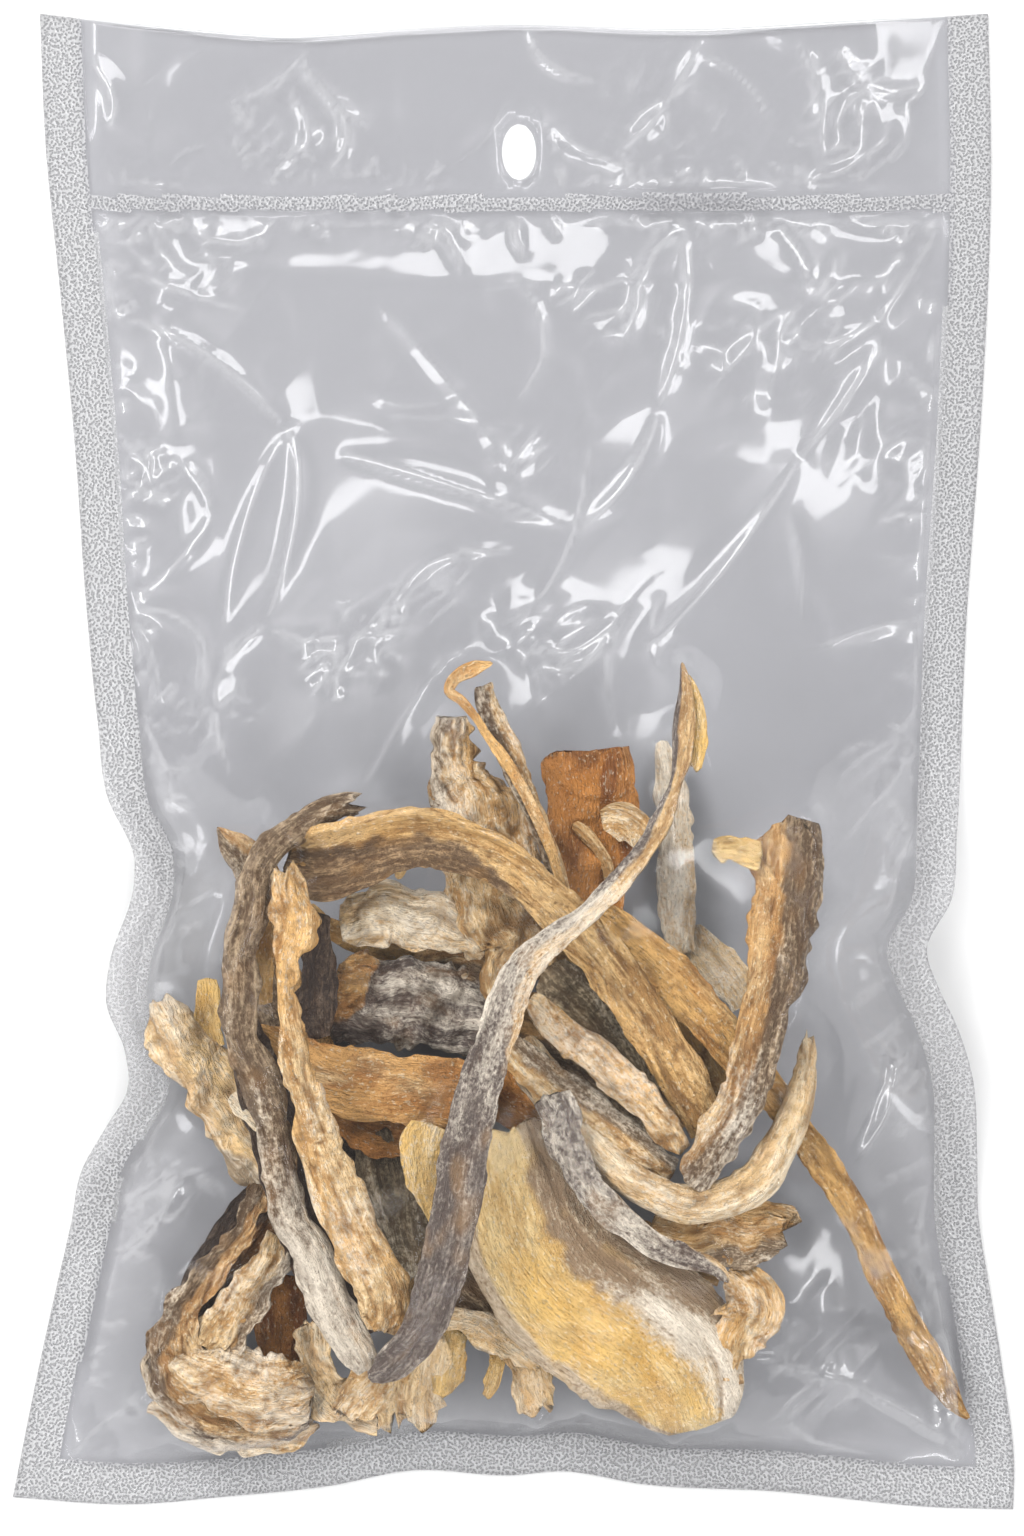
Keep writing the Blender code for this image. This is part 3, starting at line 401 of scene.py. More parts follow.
SMALL_PIECES = {
    "diagonal_leaf": dict(
        look="yellow", thick=0.9, curl=0.3, wrinkle=0.25, ragged=0.6, torn=(0, 3), seed=149,
        amber=(0.3, 0.4, 0.55, 0.5),
        points=(
            (34.6, 17.5, 33.2, 0.4), (36.0, 12.3, 34, 2.0), (36.5, 6.3, 34.5, 2.4), (36.3, 1.3, 35, 2.4),
            (35.2, -3.2, 35.5, 1.6),
        ),
    ),
    "upright_tab": dict(
        look="yellow", thick=1.2, curl=0.25, wrinkle=0.35, ragged=0.8, torn=(3, 1), seed=151,
        amber=(0.2, 0.3, 0.4),
        points=(
            (38.9, -18.1, 31, 1.8), (42.7, -17.7, 32, 2.7), (46.7, -18.2, 33, 2.9),
            (50.2, -18.7, 33.5, 3.2),
        ),
    ),
    "patch_fold": dict(
        look="cream", thick=1.0, curl=0.5, wrinkle=0.3, ragged=0.4, seed=157, salt=0.4,
        points=(
            (17.5, -11.7, 20.5, 1.5), (20.7, -11.3, 21.5, 3.4), (24.3, -13.2, 21.5, 3.6),
            (26.1, -16.7, 21, 1.6),
        ),
    ),
    "patch_curl": dict(
        look="cream", thick=1.6, curl=-0.4, wrinkle=0.35, ragged=0.4, seed=163, amber=0.3,
        points=(
            (11.7, -12.5, 20, 0.9), (14.3, -14.3, 21, 1.4), (16.9, -17.3, 21.5, 1.2),
            (18.7, -21.3, 21.5, 1.3), (19.1, -24.5, 21, 0.8),
        ),
    ),
    "pale_column": dict(
        look="pale", thick=2.0, curl=-0.2, wrinkle=0.4, ragged=0.6, seed=167, salt=(0.6, 0.7, 0.7, 0.6),
        points=(
            (29.5, 4.3, 5.5, 1.4), (31.3, -3.7, 6, 2.9), (31.9, -12.7, 6.5, 3.3), (32.3, -21.7, 7, 3.6),
            (32.7, -30.7, 8, 3.8), (33.5, -38.7, 9, 3),
        ),
    ),
    "pale_triangle": dict(
        look="pale", thick=1.6, curl=0.1, wrinkle=0.4, ragged=0.8, seed=173, amber=0.2, salt=0.5,
        points=(
            (35.9, -32.7, 6, 1.2), (38.1, -37.2, 6.5, 4.2), (42.3, -42.7, 7, 4.6), (46.7, -48.7, 8, 3),
        ),
    ),
    "cream_lump": dict(
        look="pale", thick=4.0, curl=-0.3, wrinkle=0.7, crumple=2.0, ragged=1.2, seed=179,
        amber=(0.2, 0.15, 0.2), salt=0.45, crumb=0.6,
        points=(
            (-34.7, -31.7, 23, 3.5), (-29.7, -31.2, 24, 5.4), (-23.7, -30.7, 24.5, 5.8),
            (-16.7, -32.2, 24.5, 6), (-10.7, -34.7, 23, 5), (-5.7, -37.7, 21, 3),
        ),
    ),
    "tan_crosspiece": dict(
        look="tan", thick=2.0, curl=0.2, wrinkle=0.5, ragged=0.5, seed=181, amber=(0.5, 0.4, 0.5),
        points=(
            (-41.7, -29.7, 14, 1.8), (-36.7, -33.1, 14, 2.2), (-28.7, -36.3, 13.5, 2.3),
            (-19.7, -38.1, 13, 2.2), (-10.7, -38.7, 13, 2.2), (-3.7, -40.7, 13, 1.8),
        ),
    ),
    "brown_crosspiece": dict(
        look="brown", thick=2.4, curl=-0.2, wrinkle=0.6, crumple=0.9, ragged=0.7, seed=191,
        amber=(0.6, 0.5, 0.4), skin=(1, 0.0, 0.3, 0.6),
        points=(
            (-22.7, -40.7, 16, 2.4), (-16.7, -41.2, 16.5, 3.8), (-10.7, -40.9, 17, 4.2),
            (-5.2, -43.7, 17, 4.4), (-2.7, -49.7, 17, 4),
        ),
    ),
    "dark_leaf": dict(
        look="dark", thick=1.8, curl=0.15, wrinkle=0.4, ragged=0.9, torn=(2, 2), seed=193,
        skin=(1, 1.4, 1.4, 1.4),
        points=(
            (-39.7, -29.7, 25, 1.6), (-38.9, -34.7, 25, 3.4), (-39.5, -41.7, 24.5, 3.9),
            (-39.7, -48.7, 24, 3.8), (-39.3, -55.7, 23, 2.6),
        ),
    ),
    "amber_sliver": dict(
        look="tan", thick=1.4, curl=0.2, wrinkle=0.3, ragged=0.4, seed=197, amber=(0.9, 1.0, 0.9),
        points=(
            (-49.3, -27.7, 29, 1.6), (-49.7, -34.7, 29, 2.6), (-50.2, -41.7, 28.5, 2.4),
            (-49.9, -48.7, 28, 1.6),
        ),
    ),
    "brown_tip": dict(
        look="brown", thick=2.0, curl=0.3, wrinkle=0.5, ragged=0.4, seed=199, skin=(1, -0.2, 0.3, 0.6),
        amber=(0.4, 0.2, 0.1), salt=(0.1, 0.4, 0.3),
        points=(
            (-59.3, -13.1, 20, 0.3), (-56.4, -16.2, 21, 2.4), (-52.9, -20.3, 22, 3.9),
            (-49.7, -25.7, 22, 4.2), (-47.7, -31.7, 22, 3),
        ),
    ),
    "tiny_drop": dict(
        look="tan", thick=1.0, curl=0.3, wrinkle=0.2, ragged=0.2, seed=211, amber=0.4,
        points=((-22.9, -19.7, 25, 0.7), (-22.7, -21.5, 25, 1.3), (-23.1, -23.6, 25, 0.5)),
    ),
    "left_tab": dict(
        look="yellow", thick=1.6, curl=0.2, wrinkle=0.4, ragged=0.6, seed=223, amber=(0.4, 0.5, 0.4),
        points=(
            (-61.4, -43.2, 14, 1.8), (-61.2, -48.0, 14, 2.9), (-61.0, -53.0, 14, 3.0),
            (-59.7, -57.7, 14, 2.2),
        ),
    ),
    "left_flap": dict(
        look="pale", thick=1.0, curl=0.3, wrinkle=0.3, ragged=0.8, seed=227, salt=0.3,
        points=(
            (-56.7, -66.7, 22, 1.2), (-54.2, -69.2, 23, 2.4), (-51.2, -71.7, 24, 2.4),
            (-48.7, -74.2, 25, 1.4),
        ),
    ),
    "yellow_tab": dict(
        look="yellow", thick=1.8, curl=0.1, wrinkle=0.3, ragged=0.5, seed=229, amber=(0.2, 0.3), salt=0.3,
        points=(
            (-16.7, -72.3, 31, 3.6), (-17.9, -76.5, 31.5, 4.7), (-17.5, -83.0, 31, 4.0),
            (-16.1, -89.7, 30.5, 2.6), (-15.1, -94.7, 30, 1),
        ),
    ),
    "end_frill": dict(
        look="cream", thick=1.2, curl=0.2, wrinkle=0.5, crumple=1.8, ruffle=(2.4, 5), ragged=1.6,
        torn=(2, 3), seed=233, amber=(0.3, 0.3, 0.4), salt=(0.4, 0.3, 0.3),
        points=(
            (41.7, -102.2, 26, 2.6, 3.5), (46.0, -104.7, 26, 4.6, 5.5), (47.8, -109.7, 25, 4.8, 6.0),
            (45.6, -115.7, 24, 4.4, 4.5), (44.4, -121.7, 22.5, 2.6, 2.6), (43.7, -126.2, 21.5, 1, 1),
        ),
    ),
    "ragged_brown": dict(
        look="cream", thick=1.6, curl=0.15, wrinkle=0.6, crumple=2.2, ragged=1.8, torn=(2, 7), seed=239,
        skin=(1, -0.9, -0.6, -0.4, -0.2), salt=(0.1, 0.2, 0.3), amber=(0.4, 0.4, 0.3), crumb=0.4,
        points=(
            (27.7, -92.7, 26, 3.2), (34.7, -94.2, 26.5, 4.8), (42.7, -93.7, 26.5, 6.0),
            (49.7, -93.7, 26, 6.6), (54.9, -94.2, 25, 5.8), (57.5, -94.7, 24, 2),
        ),
    ),
    "amber_under": dict(
        look="amber", thick=2.4, curl=-0.2, wrinkle=0.6, crumple=1.2, ragged=0.7, seed=241,
        amber=(0.6, 0.7, 0.7, 0.6),
        points=(
            (-8.7, -58.7, 16, 3), (-3.7, -63.7, 16, 5), (1.3, -68.7, 16, 5.4), (6.3, -73.7, 16, 4.6),
            (9.7, -78.2, 16, 3),
        ),
    ),
    "tan_under_right": dict(
        look="tan", thick=2.4, curl=-0.2, wrinkle=0.5, ragged=0.5, seed=251, amber=(0.5, 0.5, 0.5, 0.4),
        points=(
            (32.3, -48.2, 18, 1.2), (34.3, -52.7, 18, 2.8), (37.3, -58.7, 17.5, 3.6),
            (41.3, -65.7, 17, 3.8), (45.3, -73.7, 16, 3.2),
        ),
    ),
    "amber_cavity": dict(
        look="amber", thick=2.0, curl=0.3, wrinkle=0.4, crumple=0.8, ragged=0.6, seed=257,
        amber=(0.8, 0.9, 0.8),
        points=(
            (-45.7, -102.7, 8.5, 3.6), (-45.9, -108.7, 8.5, 5.0), (-46.2, -114.7, 8.5, 5.2),
            (-46.7, -120.7, 8.5, 4),
        ),
    ),
    "bottom_frill": dict(
        look="pale", thick=1.2, curl=0.2, wrinkle=0.5, crumple=1.8, ruffle=(1.8, 6), ragged=1.2,
        torn=(3, 2), seed=263, salt=(0.2, 0.3, 0.1), amber=(0.2, 0.25, 0.4),
        points=(
            (-41.5, -110.5, 15, 2.6), (-40.0, -117.5, 14, 3.4), (-38.6, -123.5, 13, 4.0),
            (-35.0, -128.2, 12, 4.4), (-30.0, -130.5, 12, 3.8), (-26.0, -130.5, 12, 1.5),
        ),
    ),
    "petal_left": dict(
        look="cream", thick=1.0, curl=0.3, wrinkle=0.4, crumple=1.2, ruffle=(1.2, 5), ragged=1.0,
        torn=(1, 4), seed=359, salt=0.3, amber=(0.1, 0.2, 0.3),
        points=(
            (-24.0, -119.5, 16, 3.2), (-28.5, -124.7, 15, 4.6), (-32.0, -129.0, 13.5, 4.4),
            (-34.0, -133.0, 12, 2.0),
        ),
    ),
    "petal_middle": dict(
        look="cream", thick=0.9, curl=0.35, wrinkle=0.35, crumple=1.2, ruffle=(1.4, 5), ragged=1.2,
        torn=(1, 5), seed=367, salt=0.2, amber=(0.2, 0.3, 0.2),
        points=(
            (-20.5, -116.5, 15, 3.0), (-23.2, -123.5, 14.5, 4.4), (-24.2, -129.0, 13, 4.2),
            (-23.6, -134.5, 11.5, 1.6),
        ),
    ),
    "petal_right": dict(
        look="pale", thick=0.9, curl=0.3, wrinkle=0.35, crumple=1.4, ruffle=(1.6, 5), ragged=1.2,
        torn=(1, 5), seed=373, salt=0.2, amber=(0.3, 0.3, 0.3),
        points=(
            (-16.0, -113.0, 16, 3.2), (-17.6, -120.5, 15.5, 4.2), (-18.2, -127.0, 14, 3.8),
            (-17.4, -134.5, 12, 1.2),
        ),
    ),
    "petal_curl": dict(
        look="yellow", thick=0.9, curl=-0.4, wrinkle=0.35, crumple=0.9, ragged=0.9, torn=(1, 3), seed=379,
        salt=0.1, amber=(0.4, 0.5, 0.4),
        points=(
            (-12.0, -113.0, 16.5, 2.4), (-13.0, -119.0, 16, 3.4), (-14.2, -124.5, 15, 2.6),
            (-14.8, -128.5, 13.5, 0.8),
        ),
    ),
    "frill_tail": dict(
        look="pale", thick=1.2, curl=-0.3, wrinkle=0.45, crumple=1.2, ruffle=(1.6, 6), ragged=1.0,
        torn=(2, 2), seed=269, salt=(0.2, 0.3), amber=(0.3, 0.4, 0.5),
        points=(
            (-15.0, -110.7, 17.5, 2.4), (-8.7, -112.4, 18, 3.4), (-2.7, -115.7, 18, 3.2),
            (2.5, -119.2, 17, 2.6), (5.7, -121.7, 16, 1.0),
        ),
    ),
    "tail_petal": dict(
        look="pale", thick=0.9, curl=0.3, wrinkle=0.4, crumple=1.2, ruffle=(1.4, 5), ragged=1.2,
        torn=(1, 4), seed=383, salt=0.1, amber=(0.5, 0.4, 0.5),
        points=(
            (0.5, -116.0, 15, 3.4), (3.6, -122.0, 14.5, 4.2), (5.2, -127.5, 13.5, 3.8),
            (6.6, -132.0, 12.5, 2.0),
        ),
    ),
    "tail_curl": dict(
        look="yellow", thick=0.8, curl=0.4, wrinkle=0.3, crumple=0.6, ragged=0.6, torn=(0, 2), seed=389,
        amber=0.5,
        points=(
            (-6.2, -114.5, 14.5, 1.4), (-3.4, -119.0, 14, 2.0), (-4.4, -124.0, 13.5, 1.6),
            (-6.2, -128.0, 13, 0.6),
        ),
    ),
}

UNDER_PIECES = {
    "under_left_loop": dict(
        look="dark", thick=3.0, curl=0.2, wrinkle=0.6, ragged=0.5, seed=271, skin=(1, 1.4, 1.3, 1.2, 1.2),
        points=(
            (-54, -52, 24, 3), (-51, -62, 23, 5), (-46.5, -76, 22, 6), (-42, -90, 20, 6),
            (-37, -104, 18, 6), (-32, -116, 15, 4),
        ),
    ),
    "under_band": dict(
        look="amber", thick=2.4, curl=0.3, wrinkle=0.5, crumple=1.2, ragged=0.7, seed=277,
        amber=(0.5, 0.4, 0.5),
        points=(
            (-37, -69, 17, 2.5), (-31, -73, 17, 4), (-23, -75, 17, 4.6), (-15, -75, 17, 4.4),
            (-8, -73, 17, 3),
        ),
    ),
    # A dark strip in the gap below the band, under the heap: painted shade.
    "gap_shade_below_band": dict(
        look="dark", thick=2.4, curl=0.1, wrinkle=0.6, ragged=0.6, seed=281, skin=(1, 1.3, 1.3, 1.3),
        points=((-36, -79, 11, 4), (-29, -81, 11, 6), (-20, -83, 11, 6.5), (-11, -85, 11, 5)),
    ),
    # A dark strip in the hollow between the outer and the inner fold: painted shade.
    "fold_hollow_shade": dict(
        look="dark", thick=2.0, curl=0.2, wrinkle=0.6, ragged=0.5, seed=283, amber=1.2,
        skin=(1, 0.2, 0.4, 0.2),
        points=(
            (-44, -80, 12, 3), (-50, -89, 12, 5), (-56, -98, 12, 6), (-61, -107, 11, 6),
            (-60, -117, 10, 5),
        ),
    ),
    "under_belly": dict(
        look="brown", thick=3.0, curl=0.1, wrinkle=0.6, ragged=0.6, crumple=0.8, seed=293,
        amber=(0.4, 0.5, 0.5), skin=(1, 0.6, 0.3, 0.2),
        points=(
            (-17, -96, 15, 4), (-11, -102, 15, 6), (-3, -109, 14.5, 6), (6, -116, 13, 5.5),
            (15, -123, 11, 4),
        ),
    ),
    "under_centre": dict(
        look="brown", thick=3.0, curl=-0.2, wrinkle=0.7, ragged=0.6, crumple=1.0, seed=307, amber=0.5,
        skin=(1, 0.4, 0.6, 0.5),
        points=(
            (-11, -50, 12, 4), (-3, -55, 12, 6.5), (6, -60, 12, 7), (16, -66, 12, 6.5), (26, -73, 11, 5),
        ),
    ),
    "under_left": dict(
        look="brown", thick=3.0, curl=-0.2, wrinkle=0.7, ragged=0.6, seed=311, amber=0.4,
        skin=(1, -0.2, 0.4, 0.5),
        points=(
            (-50, -36, 11, 3.5), (-47, -46, 11, 6), (-43, -57, 11, 6.5), (-38, -68, 11, 6),
            (-33, -78, 10, 4),
        ),
    ),
    "under_right": dict(
        look="tan", thick=3.0, curl=-0.2, wrinkle=0.6, ragged=0.6, seed=313, amber=0.5, salt=0.2,
        points=((8, -34, 9, 4), (16, -42, 9, 6), (25, -51, 9, 6), (33, -61, 9, 5.5), (41, -73, 9, 4)),
    ),
    "lower_cross": dict(
        look="tan", thick=3.4, curl=-0.3, wrinkle=0.7, ragged=0.6, seed=317, amber=0.3, salt=0.2,
        points=(
            (-44, -98, 6, 4), (-30, -94, 6, 6), (-12, -92, 6, 6.5), (8, -94, 6, 6.5), (26, -98, 6, 6),
            (42, -101, 7, 4),
        ),
    ),
    "low_slab": dict(
        look="cream", thick=6.0, curl=-0.3, wrinkle=0.6, ragged=0.7, seed=331, amber=0.3, salt=0.2,
        points=(
            (2, -80, 12, 7), (8, -92, 14, 11), (14, -104, 14, 13), (22, -113, 13, 13), (31, -121, 11, 9),
        ),
    ),
    "low_middle": dict(
        look="brown", thick=4.0, curl=-0.3, wrinkle=0.7, ragged=0.7, seed=337, amber=0.3,
        skin=(1, 0, 0.4, 0.2),
        points=((-28, -42, 6, 5), (-14, -47, 6, 7), (2, -54, 6, 7.5), (18, -63, 6, 7), (32, -76, 6, 5)),
    ),
    "low_left": dict(
        look="tan", thick=4.0, curl=-0.3, wrinkle=0.7, ragged=0.7, seed=347, amber=0.3, salt=0.1,
        points=(
            (-47, -50, 5, 4), (-40, -63, 5, 6.5), (-32, -78, 5, 7), (-26, -94, 5, 7), (-24, -110, 5, 5),
        ),
    ),
}

# Broad folds of the film: the ends of each ridge and its height.
FOLDS = (
    ((-84, 107), (-79, 89), 2.6), ((-79, 89), (-45, 65), 3.2), ((-45, 65), (-49, 27), 3.0),
    ((-49, 27), (-21, 26), 2.4), ((-58, 18), (-62, -6), 2.0), ((-78, 31), (-60, 49), 2.0),
    ((-35, 61), (12, 46), 3.0), ((12, 46), (28, 69), 2.4), ((28, 69), (34, 106), 2.8),
    ((87, 110), (72, 88), 2.8), ((72, 88), (58, 82), 2.6), ((71, 81), (25, 21), 3.0),
    ((84, 29), (59, 22), 2.2), ((75, -54), (67, -79), 2.0), ((45, -117), (71, -126), 2.0),
    ((71, -126), (91, -140), 1.8), ((-88, -140), (-63, -125), 2.0), ((-83, -101), (-67, -78), 2.0),
    ((37, 144), (21, 121), 1.6), ((60, 143), (61, 117), 1.6), ((-43, 140), (-29, 126), 1.4),
)

# Sharp creases that catch the light: the way of each, its height and its half width at the middle.
CREASES = (
    (((-84.4, 107.1), (-82.2, 97.3), (-79.1, 88.7)), 1.2, 3.6),
    (((-79.1, 88.7), (-60.2, 80.1), (-44.9, 65.5)), 1.1, 3.0),
    (((-44.9, 65.5), (-42.9, 50.3), (-49.1, 26.5)), 1.1, 3.0),
    (((-44.9, 65.5), (-54.1, 44.3), (-58.3, 17.9)), 0.5, 2.4),
    (((-49.1, 26.5), (-54.1, 22.7), (-58.3, 17.9)), 0.7, 1.8),
    (((-49.1, 26.5), (-36.7, 23.7), (-21.1, 26.1)), 0.9, 2.8),
    (((-21.1, 26.1), (-31.7, 21.7), (-34.7, 12.3)), 1.0, 3.0),
    (((-44.1, 24.1), (-37.1, 18.9), (-34.7, 12.3)), 0.9, 2.8),
    (((-33.7, 21.3), (-27.7, 27.3), (-23.1, 33.7)), 0.9, 2.6),
    (((-21.1, 26.1), (-22.7, 30.3), (-23.1, 33.7)), 0.6, 1.6),
    (((-59.7, 49.3), (-67.2, 39.1), (-78.1, 31.1)), 0.6, 2.6),
    (((-59.7, 49.3), (-64.1, 57.3), (-74.5, 64.5)), 0.7, 2.6),
    (((-74.5, 64.5), (-72.1, 58.7), (-74.5, 52.7)), 0.8, 2.2),
    (((-74.5, 52.7), (-70.7, 53.1), (-67.5, 52.3)), 0.6, 1.8),
    (((-74.5, 52.7), (-77.1, 56.7), (-80.3, 58.3)), 0.6, 1.8),
    (((-78.1, 31.1), (-62.7, 25.3), (-62.5, 8.9)), 1.2, 3.4),
    (((-78.1, 31.1), (-72.1, 21.3), (-71.1, 10.3)), 0.7, 2.4),
    (((-58.3, 17.9), (-58.7, 8.3), (-55.7, -1.7)), 0.8, 2.6),
    (((-34.7, 60.7), (-14.5, 54.9), (12.5, 45.7)), 1.2, 3.2),
    (((-27.1, 91.7), (-9.1, 69.9), (2.1, 53.9)), 0.4, 2.8),
    (((33.9, 106.3), (26.9, 99.1), (22.1, 81.1)), 1.1, 2.8),
    (((33.9, 106.3), (34.1, 89.3), (28.5, 69.3)), 1.2, 2.8),
    (((28.5, 69.3), (22.9, 56.1), (12.5, 45.7)), 0.9, 2.4),
    (((86.9, 110.3), (78.7, 96.3), (72.3, 87.7)), 1.2, 2.8),
    (((72.3, 87.7), (64.9, 83.3), (56.3, 82.5)), 1.2, 3.6),
    (((71.3, 80.9), (65.1, 70.3), (56.9, 60.5)), 1.3, 3.6),
    (((56.9, 60.5), (41.5, 38.1), (24.5, 20.5)), 1.0, 2.4),
    (((86.9, 110.7), (74.1, 107.3), (62.9, 110.3)), 1.1, 3.0),
    (((59.7, 92.7), (56.3, 102.3), (50.3, 109.3)), 0.7, 2.2),
    (((59.7, 92.7), (63.3, 97.3), (64.3, 101.9)), 0.6, 1.8),
    (((-20.5, 109.1), (-13.2, 104.9), (-10.7, 97.1)), 1.1, 3.2),
    (((1.1, 109.3), (0.9, 104.9), (2.1, 100.1)), 0.9, 2.0),
    (((-65.1, 97.1), (-70.7, 102.3), (-72.7, 109.3)), 0.9, 2.8),
    (((-47.3, 108.1), (-55.7, 103.3), (-64.7, 106.3)), 0.6, 2.0),
    (((58.7, 21.9), (71.3, 26.3), (83.5, 28.7)), 0.8, 2.8),
    (((54.7, 49.3), (56.7, 38.3), (56.3, 26.7)), 0.4, 2.2),
    (((87.1, 90.5), (84.3, 81.3), (87.3, 72.3)), 0.8, 2.0),
    (((77.5, 76.5), (82.7, 74.3), (85.5, 69.9)), 0.8, 2.2),
    (((1.3, 27.3), (9.3, 21.3), (20.5, 27.9)), 1.0, 2.8),
    (((6.3, 18.7), (13.3, 21.7), (20.5, 27.9)), 0.8, 2.4),
    (((75.3, -53.7), (74.1, -66.7), (67.3, -78.7)), 1.9, 3.2),
    (((45.3, -116.7), (70.3, -124.7), (92.3, -140.7)), 1.9, 3.2),
    (((-88.7, -140.7), (-77.7, -128.7), (-62.7, -124.7)), 1.0, 2.8),
    (((-80.7, -88.7), (-72.7, -84.3), (-66.7, -79.7)), 1.6, 2.6),
    (((-66.7, -79.7), (-69.7, -90.3), (-77.7, -98.7)), 1.5, 2.6),
    (((-66.7, -79.7), (-58.7, -82.3), (-56.7, -88.7)), 0.7, 2.2),
    (((37.3, 144.3), (30.7, 131.3), (21.3, 121.7)), 0.9, 2.8),
    (((56.3, 143.3), (61.3, 131.3), (60.7, 117.7)), 1.0, 3.2),
    (((64.3, 142.3), (72.3, 133.9), (85.3, 136.3)), 0.9, 2.8),
    (((-42.7, 140.3), (-36.7, 132.3), (-28.7, 126.3)), 0.7, 2.4),
    (((2.9, 146.0), (7.1, 139.3), (17.3, 135.3)), 0.8, 2.6),
    (((6.3, 126.3), (15.7, 121.3), (25.3, 118.3)), 0.6, 2.4),
    (((-85.3, 141.3), (-80.3, 133.3), (-80.7, 126.3)), 0.7, 2.4),
    (((-56.7, 132.3), (-52.3, 125.3), (-54.3, 119.3)), 0.9, 2.8),
    (((-44.7, 133.3), (-41.3, 125.7), (-45.3, 119.3)), 0.9, 2.6),
    (((-35.7, 131.3), (-33.3, 124.3), (-36.7, 118.3)), 0.8, 2.4),
    (((84.3, 6.3), (74.3, -4.7), (63.3, -17.7)), 0.7, 2.6),
    (((86.7, -8.7), (76.7, -18.7), (74.7, -32.7)), 0.8, 2.6),
    (((-78.7, 12.3), (-70.7, 2.3), (-66.7, -12.7)), 0.8, 2.6),
    (((-72.7, -18.7), (-66.7, -26.7), (-70.7, -38.7)), 0.7, 2.2),
    (((82.7, -84.7), (80.7, -97.7), (86.7, -110.7)), 0.8, 2.6),
    (((52.7, -128.7), (62.7, -136.7), (78.7, -138.7)), 0.7, 2.4),
    (((-52.7, -134.7), (-38.7, -136.7), (-24.7, -133.3)), 0.7, 2.2),
    (((-10.7, -131.3), (4.3, -136.7), (20.3, -134.7)), 0.7, 2.2),
)

# How far a crease reaches on its two sides, as shares of its half width.
STEEP_SIDE = 1.3
GENTLE_SIDE = 2.2

# Random small creases: how far apart they stand along the seals, and how many are scattered.
SEAL_LINE_CREASE_STEP = 3.4
SIDE_CREASE_STEP = 5.0
LOOSE_CREASES = 46
CREASE_SEED = 5

# The loose film: how high the header and the rest puff up, how wide its folds are, and over which run
# from the seals both begin.
HEADER_PUFF = 2.5
BODY_PUFF = 6.0
PUFF_RUN = 16
FOLD_HALF_WIDTH = 17.0
FOLD_RUN = 12
# Over strips lower than the first height it puffs up in full, over strips higher than the second not at all.
PUFF_TO, FLAT_FROM = 4, 16

# The tight film: its gap over the strips, and how many times it is pulled smooth. The film clings to the
# heap from the first height to the second, and is slack past this run from the seals.
FILM_GAP = 0.6
SMOOTHINGS = 500
CLING_FROM, CLING_TO = 8, 18
CLING_SMOOTHINGS = 12
SLACK_RUN = 3

# The film's coarse grid, which is doubled twice for the front sheet and once for the back sheet.
COARSE_GRID = np.array([52, 80])

# The heap's heights are kept on a grid of square millimetres, whose middle is this far in.
RASTER_SIZE = (220, 320)
RASTER_MIDDLE = (110, 160)

# Flat facets of the loose film and of the patches of crinkles: how wide, and how high as a share of that.
FACETS = ((31.0, 0.046), (12.0, 0.03))
CRINKLE_SIZE = 4.3
CRINKLE_SHARE = 2.1

# Patches of small crinkles: middle, radius, height.
CRINKLES = (
    ((18.0, 92.0), 9.0, 0.45), ((50.0, 82.0), 12.0, 0.5), ((62.0, 88.0), 9.0, 0.4),
    ((75.0, -6.0), 12.0, 0.35), ((8.0, 24.0), 9.0, 0.5), ((-32.0, 21.0), 10.0, 0.5),
    ((-48.0, 126.0), 10.0, 0.45), ((74.0, 62.0), 10.0, 0.35), ((-72.0, 56.0), 7.0, 0.4),
    ((-70.0, -84.0), 9.0, 0.4), ((2.0, 57.0), 8.0, 0.35), ((-62.0, 103.0), 10.0, 0.4),
    ((60.0, -118.0), 16.0, 0.35), ((-10.0, 27.0), 12.0, 0.3), ((78.0, -66.0), 8.0, 0.35),
    ((-60.0, 12.0), 9.0, 0.4), ((30.0, 130.0), 14.0, 0.3), ((66.0, 128.0), 14.0, 0.35),
)

# Each look has a dark and a light colour of flesh, of amber parts and of skin.
LOOKS = {
    "slate": (
        (178, 142, 98), (228, 198, 152), (184, 132, 78), (224, 180, 120), (92, 83, 81), (164, 156, 150),
    ),
    "brown": (
        (164, 126, 82), (226, 196, 150), (174, 120, 64), (220, 172, 110), (98, 80, 62), (184, 164, 138),
    ),
    "tan": (
        (166, 128, 78), (230, 196, 142), (180, 130, 70), (228, 184, 118), (96, 76, 56), (172, 146, 114),
    ),
    "cream": (
        (190, 150, 98), (242, 216, 172), (192, 138, 74), (236, 192, 128), (120, 102, 82), (206, 188, 164),
    ),
    "yellow": (
        (214, 180, 122), (236, 212, 160), (214, 168, 84), (236, 198, 122), (152, 130, 106), (216, 200, 178),
    ),
    "amber": (
        (136, 90, 48), (198, 150, 94), (130, 78, 32), (200, 138, 72), (88, 62, 40), (164, 134, 102),
    ),
    "olive": (
        (146, 122, 86), (212, 188, 148), (150, 110, 64), (204, 164, 110), (96, 84, 66), (184, 168, 140),
    ),
    "dark": (
        (84, 66, 52), (138, 114, 92), (108, 74, 44), (158, 116, 76), (52, 42, 38), (106, 90, 78),
    ),
    "pale": (
        (222, 190, 146), (252, 238, 212), (214, 170, 108), (246, 214, 160), (164, 146, 122), (226, 214, 196),
    ),
}
SALT_WHITE = (248, 242, 232)
# Near-white of flakes on the raised grain, partly the flakes' own colour and partly a painted highlight.
FLAKE_AND_HIGHLIGHT = (255, 246, 226)
# Colour of the painted shade in deep creases, cracks and hollows.
CREVICE_SHADE = (88, 58, 32)
# A surface's own colour as a share of what shows in the studio's light, for red, green and blue.
OWN_SHARE = (0.98, 0.92, 0.83)

